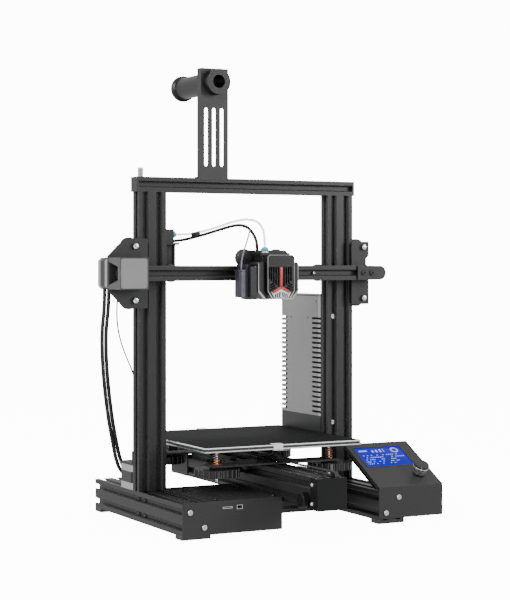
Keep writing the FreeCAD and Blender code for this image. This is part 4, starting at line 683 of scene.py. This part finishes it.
class PrinterSizes(bpy.types.PropertyGroup):
    """Sizes of the pieces that the finisher adds."""
    harness_radius: FloatProperty(name="Harness radius", description="Half the head harness's thickness, mm",
                                  default=2.1, min=1.0, max=4.0)
    tube_radius: FloatProperty(name="Feed tube radius", description="Half the filament tube's thickness, mm",
                               default=1.6, min=1.0, max=3.0)
    cable_radius: FloatProperty(name="Motor cable radius", description="Half a motor cable's thickness, mm",
                                default=2.6, min=1.0, max=4.0)
    wire_radius: FloatProperty(name="Wire radius", description="Half a thin wire's thickness, mm",
                               default=1.1, min=0.4, max=2.0)
    spring_wire: FloatProperty(name="Spring wire", description="Half the bed spring wire's thickness, mm",
                               default=0.75, min=0.4, max=1.2)
    spring_turns: IntProperty(name="Spring turns", description="Turns in each bed spring", default=7,
                              min=3, max=12)
    belt_pitch: FloatProperty(name="Belt pitch", description="Distance between belt teeth, mm", default=2.0,
                              min=1.0, max=5.0)
    screw_lead: FloatProperty(name="Screw lead", description="Rise of the lift screw in one turn, mm",
                              default=8.0, min=2.0, max=16.0)
    floor_size: FloatProperty(name="Floor size", description="Width of the studio floor", default=32.0,
                              unit="LENGTH", min=2.0, max=40.0)
    lens: FloatProperty(name="Lens", description="Focal length of the studio camera, mm", default=100.45,
                        min=20, max=300)


class PrinterColours(bpy.types.PropertyGroup):
    """Colours of the studio."""
    floor: FloatVectorProperty(name="Floor", description="Colour of the studio floor", subtype="COLOR",
                               default=(0.9, 0.9, 0.9), min=0, max=1)
    sky: FloatVectorProperty(name="Sky", description="Colour of the light all round", subtype="COLOR",
                             default=(1.0, 1.0, 1.0), min=0, max=1)


def sizes():
    return bpy.context.scene.printer_sizes


def colours():
    return bpy.context.scene.printer_colours


# --- operators

class PRINTER_OT_stage(bpy.types.Operator):
    """Set the camera, the pale floor and the soft studio light."""
    bl_idname = "printer.stage"
    bl_label = "Set the stage"

    def execute(self, context):
        data = bpy.data.cameras.new("studio camera")
        data.lens = sizes().lens
        data.sensor_width = 36
        data.shift_y = CAMERA_SHIFT
        data.clip_end = 100
        camera = bpy.data.objects.new("studio camera", data)
        camera.location = at(*CAMERA_PLACE)
        camera.rotation_euler = (math.radians(90), 0, CAMERA_HEADING)
        context.scene.collection.objects.link(camera)
        context.scene.camera = camera
        self.lay_floor()
        self.hang_lights(context)
        world = bpy.data.worlds.new("studio")
        world.use_nodes = True
        backdrop = world.node_tree.nodes["Background"]
        backdrop.inputs["Color"].default_value = (*colours().sky, 1)
        backdrop.inputs["Strength"].default_value = 0.85
        context.scene.world = world
        return {"FINISHED"}

    def lay_floor(self):
        """A wide sheet that curves up behind."""
        half = sizes().floor_size / 2
        bend, back, top = 1.2, 3.5, 7.0
        turns = [math.radians(step) for step in range(10, 91, 10)]
        profile = [(-half, 0.0), (back, 0.0)]
        profile += [(back + bend * math.sin(turn), bend * (1 - math.cos(turn))) for turn in turns]
        profile.append((back + bend, top))
        sheet = bmesh.new()
        rows = [[sheet.verts.new((side * half, y, z)) for side in (-1, 1)] for y, z in profile]
        for low, high in zip(rows, rows[1:]):
            sheet.faces.new((low[0], low[1], high[1], high[0]))
        paper = Finish("studio paper", roughness=0.8, specular_ior_level=0.05, emission_strength=12.0)
        fibre = paper.noise(30, 3.0)
        tone = tuple(colours().floor)
        paper.set(base_color=paper.mix(fibre, tuple(c * 0.99 for c in tone), tone),
                  emission_color=paper.mix(fibre, (0.98, 0.98, 0.98), (1, 1, 1)))
        floor = link_mesh("studio_floor", sheet, paper.material)
        floor.rotation_euler = (0, 0, CAMERA_HEADING)
        floor.visible_diffuse = False
        floor.visible_glossy = False

    def hang_lights(self, context):
        """Key, fill and top light, and two rims: each lamp's place, width and power."""
        lights = (("key", (-1.9, -1.5, 1.5), 1.0, 34), ("fill", (1.7, -1.9, 1.0), 0.9, 34),
                  ("top", (0.1, 0.2, 2.4), 1.6, 15), ("left rim", (-2.2, 0.6, 0.7), 0.7, 22),
                  ("low rim", (-0.2, -1.2, 0.03), 0.3, 2.2))
        for name, place, width, power in lights:
            data = bpy.data.lights.new(name, "AREA")
            data.size = width
            data.energy = power
            lamp = bpy.data.objects.new(name, data)
            lamp.location = place
            aim = Vector((0, 0, 0.25)) - Vector(place)
            lamp.rotation_euler = aim.to_track_quat("-Z", "Y").to_euler()
            context.scene.collection.objects.link(lamp)


class PRINTER_OT_cords(bpy.types.Operator):
    """Lay the feed tube, the head's harness with its clip, and the cables behind the left upright."""
    bl_idname = "printer.cords"
    bl_label = "Lay the cords"

    def execute(self, context):
        for cord in CORDS:
            lay_cord(*cord)

        def clip(sheet):
            start, end = at(-64.5, 48, 386.8), at(-54.5, 37.5, 391)
            along = (end - start).normalized()
            across = along.cross(UP).normalized()
            outline = [start + across * mm(a) + UP * mm(b) for a, b in
                       ((-2, -3.8), (2, -3.8), (2.8, -2.6), (2.8, 3), (2, 4.2), (-2, 4.2), (-2.8, 3),
                        (-2.8, -2.6))]
            add_slab(sheet, outline, along, mm(12), mm(0.5))
        piece = new_piece("cord_clip", clip, None, "black")
        bend_between(piece, *HEAD_BEND)
        return {"FINISHED"}


class PRINTER_OT_finishes(bpy.types.Operator):
    """Give every piece of the construction its finish."""
    bl_idname = "printer.finishes"
    bl_label = "Finish the construction"

    NODE_FINISHES = {
        "anodised": ("base_frame", "y_rail", "upper_frame", "x_beam"),
        "powder": ("control_tray", "control_lid", "lcd_housing", "motor_brackets", "y_carriage",
                   "z_plate_left", "z_plate_right", "x_plate", "shroud"),
        "black": ("feet_and_caps", "psu_cover", "psu_switch", "blower", "hotend_fan", "extruder_body",
                  "extruder_lever"),
        "gloss": ("lcd_knob",),
        "reel": ("spool_holder",),
        "tensioner": ("y_tensioner",),
        "frame screw": ("frame_screws",),
        "grey": ("x_motor_cover",),
        "supply": ("psu_case",),
        "zinc": ("probe_pin", "lead_screw"),
        "aluminium": ("hotend", "bed_hardware"),
        "brass": ("y_drive_pulley",),
        "dark steel": ("x_drive_pulley",),
        "belt": ("x_belt", "y_belt"),
        "circuit": ("circuit_boards",),
        "glass": ("build_surface",),
        "heater": ("bed_plate",),
        "violet": ("probe",),
    }

    def execute(self, context):
        for name, nodes in self.NODE_FINISHES.items():
            for node in nodes:
                self.coat(node, FINISHES[name])
        for node in NODES:
            if "wheel" in node:
                self.coat(node, FINISHES["knurled" if node.startswith("levelling") else "wheel"])
        self.coat_motors()
        return {"FINISHED"}

    def coat(self, node, material):
        part = NODES[node]
        if not part.material_slots:
            part.data.materials.append(material)
        for slot in part.material_slots:
            slot.material = material

    def coat_motors(self):
        """The motors of one node are told apart by place: silver caps with a black core between."""
        made = Finish("frame motor")
        lift = made.place("Y") < at(0, 100, 0).y
        bed_core = made.within("X", -45, -30) * (1 - lift)
        self.shade_motor(made, (made.within("Z", 54, 69) * lift).largest(bed_core))
        self.coat("frame_motors", made.material)
        made = Finish("gantry motor")
        cross = made.place("X") < at(-160, 0, 0).x
        self.shade_motor(made, (made.within("Y", 0.6, 15.6) * cross).largest(1 - cross))
        self.coat("gantry_motors", made.material)

    def shade_motor(self, made, core):
        grain = made.noise(900)
        cap = made.mix(grain, (0.45, 0.45, 0.46), (0.62, 0.62, 0.63))
        made.set(base_color=made.mix(core, cap, (0.022, 0.022, 0.023)), metallic=1 - core * 0.7,
                 roughness=grain * 0.15 + 0.28, normal=made.bump(grain, 0.01, made.soft_edges(0.3)))


class PRINTER_OT_bed_hardware(bpy.types.Operator):
    """Wind the bed's springs and fit its screws, glass and clips."""
    bl_idname = "printer.bed_hardware"
    bl_label = "Fit the bed's springs, glass and clips"

    def execute(self, context):
        corners = [(BED_X + side * SPRING_REACH, BED_Y + end * SPRING_REACH) for side in (-1, 1)
                   for end in (-1, 1)]
        wire, turns = sizes().spring_wire, sizes().spring_turns
        for index, (x, y) in enumerate(corners):
            spring = new_piece(f"bed_spring_{index + 1}",
                               lambda sheet: add_coil(sheet, at(x, y, 83.3), 19.7, 5 - wire, wire, turns),
                               "bed", "copper", 60)
            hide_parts("bed_hardware")

        def screws(sheet):
            shank = [(0, 0), (1.6, 0), (2, 0.5), (2, 45.2), (3.8, 45.2), (3.8, 46.4), (2.4, 47.4), (1.4, 47.4),
                     (1.4, 46.2), (0, 46.2)]
            for x, y in corners:
                add_lathe(sheet, at(x, y, 60.8), UP, shank, 24)
        new_piece("bed_screws", screws, "bed", "zinc")

        def plate(sheet):
            long, short = 117.5, 114.5
            outline = [(-long, -short), (-short, -long), (short, -long), (long, -short), (long, short),
                       (short, long), (-short, long), (-long, short)]
            add_slab(sheet, [at(BED_X + x, BED_Y + y, 106.02) for x, y in outline], UP, mm(3.96), mm(0.4))
        glass = new_piece("glass_plate", plate, "bed", "glass")
        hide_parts("build_surface")

        def clips(sheet):
            for y, way in ((-98.5, 1), (136.5, -1)):
                outer, inner = y - way * 1.1, y + way * 9
                for reach, low, high in ((y, 102.2, 110.8), (inner, 110, 110.9), (inner, 102.1, 103)):
                    add_block(sheet, (-14.5, min(outer, reach), low), (-0.5, max(outer, reach), high), 0.3)
        new_piece("bed_clips", clips, "bed", "pale")
        return {"FINISHED"}


class PRINTER_OT_lift_screw(bpy.types.Operator):
    """Cut the lift screw's four-start thread and make its coupler."""
    bl_idname = "printer.lift_screw"
    bl_label = "Cut the lift screw"

    def execute(self, context):
        centre = at(LIFT_X, LIFT_Y, 0)
        low, high, step = 107.5, 479.5, 0.5
        radius, depth, starts, sides = 4.0, 0.8, 4, 32

        def thread(sheet):
            rings = []
            for level in range(int((high - low) / step) + 1):
                z = low + level * step
                ring = []
                for i in range(sides):
                    phase = (starts * (z / sizes().screw_lead - i / sides)) % 1
                    dip = min(1.0, max(0.0, 1.6 - 4 * abs(phase - 0.5)))
                    turn, reach = math.tau * i / sides, mm(radius - depth * dip)
                    spot = Vector((reach * math.cos(turn), reach * math.sin(turn), mm(z)))
                    ring.append(sheet.verts.new(centre + spot))
                rings.append(ring)
            join_rings(sheet, rings)
        screw = new_piece("lift_screw_thread", thread, "lead_screw", "zinc", 50)
        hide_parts("lead_screw")

        def coupler(sheet):
            profile = [(2.6, 0.2), (8.9, 0.2), (9.5, 0.9)]
            for band in range(5):
                level = 6.6 + 2.6 * band
                profile += [(9.5, level), (8.2, level + 0.2), (8.2, level + 0.9), (9.5, level + 1.1)]
            profile += [(9.5, 24.1), (8.9, 24.8), (4.1, 24.8), (4.1, 18), (2.6, 18), (2.6, 0.2)]
            add_lathe(sheet, centre + UP * mm(COUPLER_LOW), UP, profile, 40)
            for level in (86, 104):
                add_screw(sheet, centre + FRONT * mm(9.2) + UP * mm(level), FRONT, 1.9, 0.8, 0.9)
        new_piece("lift_coupler", coupler, "lead_screw", "aluminium")
        return {"FINISHED"}


class PRINTER_OT_belts(bpy.types.Operator):
    """Make both toothed belts."""
    bl_idname = "printer.belts"
    bl_label = "Tooth the belts"

    def execute(self, context):
        cross = self.make_belt("cross_belt", at(-192.5, -21.4, 336), at(190, -21.4, 336), BACK, "gantry")
        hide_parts("x_belt")
        bed = self.make_belt("bed_belt", at(10, -217.5, 80.2), at(10, 190, 80.2), RIGHT, "machine_frame")
        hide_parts("y_belt")
        return {"FINISHED"}

    def make_belt(self, name, start, end, across, body):
        """A flat loop round two centres, teeth inwards."""
        along, run = (end - start).normalized(), (end - start).length
        inner, back, outer, half_width = mm(4.6), mm(5.35), mm(6.0), mm(3)
        turn = math.pi * back
        total = 2 * run + 2 * turn
        teeth = int(total / mm(sizes().belt_pitch))

        def place(distance):
            """A point of the loop's centre line and the way out from it."""
            distance %= total
            if distance < run:
                return start + along * distance, UP
            if distance < run + turn:
                angle = math.pi / 2 - (distance - run) / back
                return end, along * math.cos(angle) + UP * math.sin(angle)
            if distance < 2 * run + turn:
                return end - along * (distance - run - turn), -UP
            angle = -math.pi / 2 - (distance - 2 * run - turn) / back
            return start, along * math.cos(angle) + UP * math.sin(angle)

        def loop(sheet):
            rows = []
            for tooth in range(teeth):
                for share, radius in ((0.0, inner), (0.42, inner), (0.5, back), (0.92, back)):
                    base, out = place((tooth + share) * total / teeth)
                    section = ((radius, -half_width), (outer, -half_width), (outer, half_width),
                               (radius, half_width))
                    rows.append([sheet.verts.new(base + out * reach + across * side)
                                 for reach, side in section])
            join_rings(sheet, rows, closed=True)
        return new_piece(name, loop, body, "belt", 30)


class PRINTER_OT_display(bpy.types.Operator):
    """Light the display and fit its bezel, the knob's rim and the control box's ports."""
    bl_idname = "printer.display"
    bl_label = "Light the display"

    def execute(self, context):
        slope = Vector((0, math.cos(PANEL_TILT), math.sin(PANEL_TILT)))
        out = Vector((0, -math.sin(PANEL_TILT), math.cos(PANEL_TILT)))
        left, low = SCREEN_LEFT, SCREEN_LOW
        right, high = left + SCREEN_WIDTH, low + SCREEN_HEIGHT

        def on_panel(x, y, z):
            return at(*PANEL_CORNER) + RIGHT * mm(x) + slope * mm(y) + out * mm(z)

        def panel_slab(sheet, sides, z, thickness, bevel):
            add_slab(sheet, [on_panel(x, y, z) for x, y in rectangle(*sides)], out, mm(thickness), mm(bevel))

        FINISHES["display"] = display_glow(on_panel(left, low, 0))
        new_piece("display_screen", lambda sheet: panel_slab(sheet, (left, low, right, high), -0.9, 0.7, 0.15),
                  "machine_frame", "display")

        def ports(sheet):
            for x0, z0, x1, z1 in ((-109, 36.8, -95, 39.4), (-89, 35.2, -80.6, 40.8)):
                outer = rectangle(x0 + 0.1, z0 + 0.1, x1 - 0.1, z1 - 0.1)
                hole = rectangle(x0 + 0.8, z0 + 0.7, x1 - 0.8, z1 - 0.7)
                add_pierced(sheet, on_face(outer, -138.7), [on_face(hole, -138.7)], BACK, mm(9))
        new_piece("port_shells", ports, "machine_frame", "aluminium")

        def bezel(sheet):
            for sides in ((left - 1.4, low - 1.4, right + 1.2, low), (right, low, right + 1.2, high),
                          (left - 1.4, high, right + 1.2, high + 1.4), (left - 1.4, low, left, high)):
                panel_slab(sheet, sides, -0.4, 0.8, 0.2)
        new_piece("display_bezel", bezel, "machine_frame", "black")

        def rim(sheet):
            # The upper ring is a painted highlight round the knob's top; the skirt is the knob's grey base.
            highlight_ring = [(10.3, 11.6), (11.1, 12.0), (11.25, 12.6), (10.9, 13.2), (10.3, 12.9), (10.3, 11.6)]
            skirt = [(7.1, 2.2), (8.4, 2.2), (9.4, 6.5), (10.4, 10.2), (9.6, 10.2), (7.1, 5)]
            for profile in (highlight_ring, skirt):
                add_lathe(sheet, on_panel(77, 25.5, 0), out, profile, 48)
        new_piece("knob_rim", rim, "lcd_knob", "aluminium")
        return {"FINISHED"}


class PRINTER_OT_tool_head(bpy.types.Operator):
    """Make the tool head's hood with its grille, vent, rim and accent, and the tube's fittings."""
    bl_idname = "printer.tool_head"
    bl_label = "Dress the tool head"

    # The grille's outline and the inner edge of its wall, in X and Z.
    NOSE = [(-13.4, 312), (-6.6, 301.3), (20.4, 301.3), (27, 312), (27, 357.6), (24, 360.6), (-10.4, 360.6),
            (-13.4, 357.6)]
    WALL = [(-11.8, 312.6), (-5.8, 302.9), (19.6, 302.9), (25.4, 312.6), (25.4, 357), (23.4, 359),
            (-9.8, 359), (-11.8, 357)]
    # Each slanted slot's distance from the bar and height at its inner and outer end.
    SLANTS = ((10.6, 323, 17, 319.6), (9.4, 320.2, 17.2, 316.2), (8.4, 317.3, 17.4, 312.9))
    TUBE_X, TUBE_Y = -3, -52

    def execute(self, context):
        fan_slots = []
        for side in (-1, 1):
            for foot, top in ((2.8, 2.0), (6.0, 5.0), (9.2, 8.0)):
                low, high, rise = BAR + side * foot, BAR + side * top, 311.4 - top / 3
                fan_slots.append([(low - 0.95, 304.2), (low + 0.95, 304.2), (high + 0.95, rise),
                                  (high - 0.95, rise)])
        self.make_shell(fan_slots)
        self.make_front(fan_slots)

        def accent(sheet):
            add_block(sheet, (BAR - 1.7, FACE - 0.9, 317.2), (BAR + 1.7, FACE + 0.3, 344.2), 0.4)
            leg = [(0, 319.2), (0, 315.9), (11.6, 310), (13.2, 311.6)]
            add_mirrored(sheet, BAR, leg, FACE - 0.9, 1.2)
        new_piece("hood_accent", accent, "tool_head", "red")

        def fitting(sheet):
            profile = [(5.0, 5.9), (5.4, 6.1), (5.4, 8.2), (4.2, 8.8), (4.2, 9.8), (2.15, 10.2), (2.15, 6.2),
                       (5.0, 5.9)]
            add_lathe(sheet, at(self.TUBE_X, self.TUBE_Y, 361), UP, profile)
        new_piece("head_fitting", fitting, "tool_head", "blue")

        def feeder_fitting(sheet):
            profile = [(4.75, 0.1), (4.75, 5.2), (3.6, 5.3), (3.6, 7.3), (2.15, 7.4), (2.15, 5.4), (4.7, 0.1)]
            add_lathe(sheet, at(-94.7, 53.3, 389), RIGHT, profile)
        new_piece("feeder_fitting", feeder_fitting, "gantry", "blue")
        return {"FINISHED"}

    def make_shell(self, fan_slots):
        """A grille with fanned slots, a wide body behind it and a flat roof."""
        slots = [rectangle(across - 1.25, low, across + 1.25, 344.6) for across, low in self.tall_slots()]
        slots += [[(BAR + side * a, c - 0.95), (BAR + side * b, d - 0.95), (BAR + side * b, d + 0.95),
                   (BAR + side * a, c + 0.95)] for side in (-1, 1) for a, c, b, d in self.SLANTS]

        def shell(sheet):
            add_pierced(sheet, on_face(self.NOSE, FACE), [on_face(hole, FACE) for hole in slots + fan_slots],
                        BACK, mm(1.6))
            add_pierced(sheet, on_face(self.NOSE, FACE + 1.6), [on_face(self.WALL, FACE + 1.6)], BACK, mm(20))
            wing = [(30, 311), (21, 301), (14.6, 301.3), (21.3, 312), (21.3, 351), (28, 351), (30, 349)]
            flank = [(30, 311), (21, 301), (18.5, 301), (18.5, 302.6), (20.3, 302.6), (28.4, 311.6),
                     (28.4, 349.4), (20, 349.4), (20, 351), (28, 351), (30, 349)]
            add_mirrored(sheet, HOOD_X, wing, -75, 1.6)
            add_mirrored(sheet, HOOD_X, flank, -73.4, 37.2)
            roof = [(-16.5, -66), (-14.5, -68), (25.5, -68), (27.5, -66), (27.5, -39.6), (-16.5, -39.6)]
            deck = rectangle(-14.5, -60, 25.5, -36.2)
            for outline, z, thickness in ((roof, 359.2, 4.2), (deck, 349.4, 1.6)):
                port = circle(at(self.TUBE_X, self.TUBE_Y, z), mm(5.6), 24, RIGHT, BACK)
                add_pierced(sheet, [at(x, y, z) for x, y in outline], [port], UP, mm(thickness))
            for x in (-14.5, 23.9):
                add_block(sheet, (x, -66, 350.6), (x + 1.6, -36.2, 359.6), 0.3)
        hood = new_piece("hood_shell", shell, "tool_head", "hood")
        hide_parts("shroud")

    def make_front(self, fan_slots):
        """The fan's black frame behind the grille, matte so that it also paints the hollow's shade; the
        grille's rim, pale as a painted highlight; its vent, light grey as a painted reflection; and the side
        screw.
        """
        def fan_frame(sheet):
            hole = circle(at(BAR, FACE + 3.2, 331), mm(9), 20, RIGHT, UP)
            add_pierced(sheet, on_face(self.WALL, FACE + 3.2), [hole], BACK, mm(2))
            add_lathe(sheet, at(BAR, FACE + 3.6, 331), BACK, [(7.6, 0), (7.6, 1.6), (0, 1.6)], 24)
        new_piece("hood_fan", fan_frame, "tool_head", "fan")

        # Painted highlight: the rim round the grille and the lines on the flanks are pale for the light on
        # rounded edges.
        def rim(sheet):
            edge = [(-12.9, 312.5), (-5.5, 303), (19.3, 303), (26.5, 312.5), (26.5, 357.4), (23.8, 360.1),
                    (-10.2, 360.1), (-12.9, 357.4)]
            add_pierced(sheet, on_face(self.NOSE, FACE - 0.5), [on_face(edge, FACE - 0.5)], BACK, mm(0.6))
            line = [(30.2, 349), (30.2, 310.9), (21.1, 300.8), (17.6, 300.8), (29.4, 313.4), (29.4, 349)]
            add_mirrored(sheet, HOOD_X, line, -75.3, 1.2)
        new_piece("hood_rim", rim, "tool_head", "edge")
        new_piece("hood_screw", lambda sheet: add_screw(sheet, at(-24.4, -66, 344), LEFT, 1.8, 0.9, 0.9),
                  "tool_head", "zinc")

        # Painted reflection: the grille's lower band is light grey for the floor shining in its sloping facet.
        def vent(sheet):
            outline = [(-15, 311.4), (-11.6, 304.8), (-10.6, 303.6), (10.6, 303.6), (11.6, 304.8), (15, 311.4),
                       (13.6, 310.3), (11.4, 309.3), (0, 315), (-11.4, 309.3), (-13.6, 310.3)]
            add_pierced(sheet, on_face([(BAR + x, z) for x, z in outline], FACE - 0.5),
                        [on_face(hole, FACE - 0.5) for hole in fan_slots], BACK, mm(0.6))
        new_piece("hood_vent", vent, "tool_head", "light")

    def tall_slots(self):
        """Middle and lower end of each upright slot; the lower ends rise outwards."""
        reaches = (4.2, 7.7, 11.2, 14.7)
        return [(BAR + side * reach, 318.6 + (reach - 4.2) * 0.68) for side in (-1, 1)
                for reach in reaches] + [(BAR - 18, 328)]


class PRINTER_OT_fasteners(bpy.types.Operator):
    """Fit the gantry cover's blank plate, the axles' heads and the tensioner's bolts."""
    bl_idname = "printer.fasteners"
    bl_label = "Fit plate, heads and bolts"

    def execute(self, context):
        def plate(sheet):
            corners = [(-205, 319), (-204.2, 317.2), (-202.5, 316.4), (-170.5, 316.4), (-168.8, 317.2),
                       (-168, 319), (-168, 353), (-168.8, 354.8), (-170.5, 355.6), (-202.5, 355.6),
                       (-204.2, 354.8), (-205, 353)]
            add_slab(sheet, on_face(corners, -34.9), BACK, mm(1))
        new_piece("cover_plate", plate, "gantry", "label")

        def heads(sheet):
            for x in (-175.7, 175.7):
                for z in (300, 372):
                    add_hex(sheet, at(x, -14.3, z), FRONT, 3.4, 1.4)
            add_screw(sheet, at(86.4, -28.5, 336), FRONT, 2.2, 1.2, 1)
        new_piece("axle_heads", heads, "gantry", "zinc")

        def bolts(sheet):
            for z in (71, 47):
                add_screw(sheet, at(-21, -214, z), LEFT, 2.6, 1.8, 1.2)
        new_piece("tensioner_bolts", bolts, "machine_frame", "zinc")
        return {"FINISHED"}


class PRINTER_PT_panel(bpy.types.Panel):
    """Lists the finisher's steps and settings."""
    bl_label = "Filament printer"
    bl_idname = "PRINTER_PT_panel"
    bl_space_type = "VIEW_3D"
    bl_region_type = "UI"
    bl_category = "Printer"

    def draw(self, context):
        for step in STEPS:
            self.layout.operator(step.bl_idname)
        for settings in (context.scene.printer_sizes, context.scene.printer_colours):
            for name in settings.bl_rna.properties.keys():
                if name not in ("rna_type", "name"):
                    self.layout.prop(settings, name)


STEPS = (PRINTER_OT_stage, PRINTER_OT_cords, PRINTER_OT_finishes, PRINTER_OT_bed_hardware,
         PRINTER_OT_lift_screw, PRINTER_OT_belts, PRINTER_OT_display, PRINTER_OT_tool_head,
         PRINTER_OT_fasteners)
CLASSES = (PrinterSizes, PrinterColours, *STEPS, PRINTER_PT_panel)


def register():
    for item in CLASSES:
        bpy.utils.register_class(item)
    bpy.types.Scene.printer_sizes = PointerProperty(type=PrinterSizes)
    bpy.types.Scene.printer_colours = PointerProperty(type=PrinterColours)


def unregister():
    del bpy.types.Scene.printer_sizes
    del bpy.types.Scene.printer_colours
    for item in reversed(CLASSES):
        bpy.utils.unregister_class(item)


def main():
    register()
    mix_finishes()
    for step in STEPS:
        group, name = step.bl_idname.split(".")
        getattr(getattr(bpy.ops, group), name)()


if __name__ == "__main__":
    main()
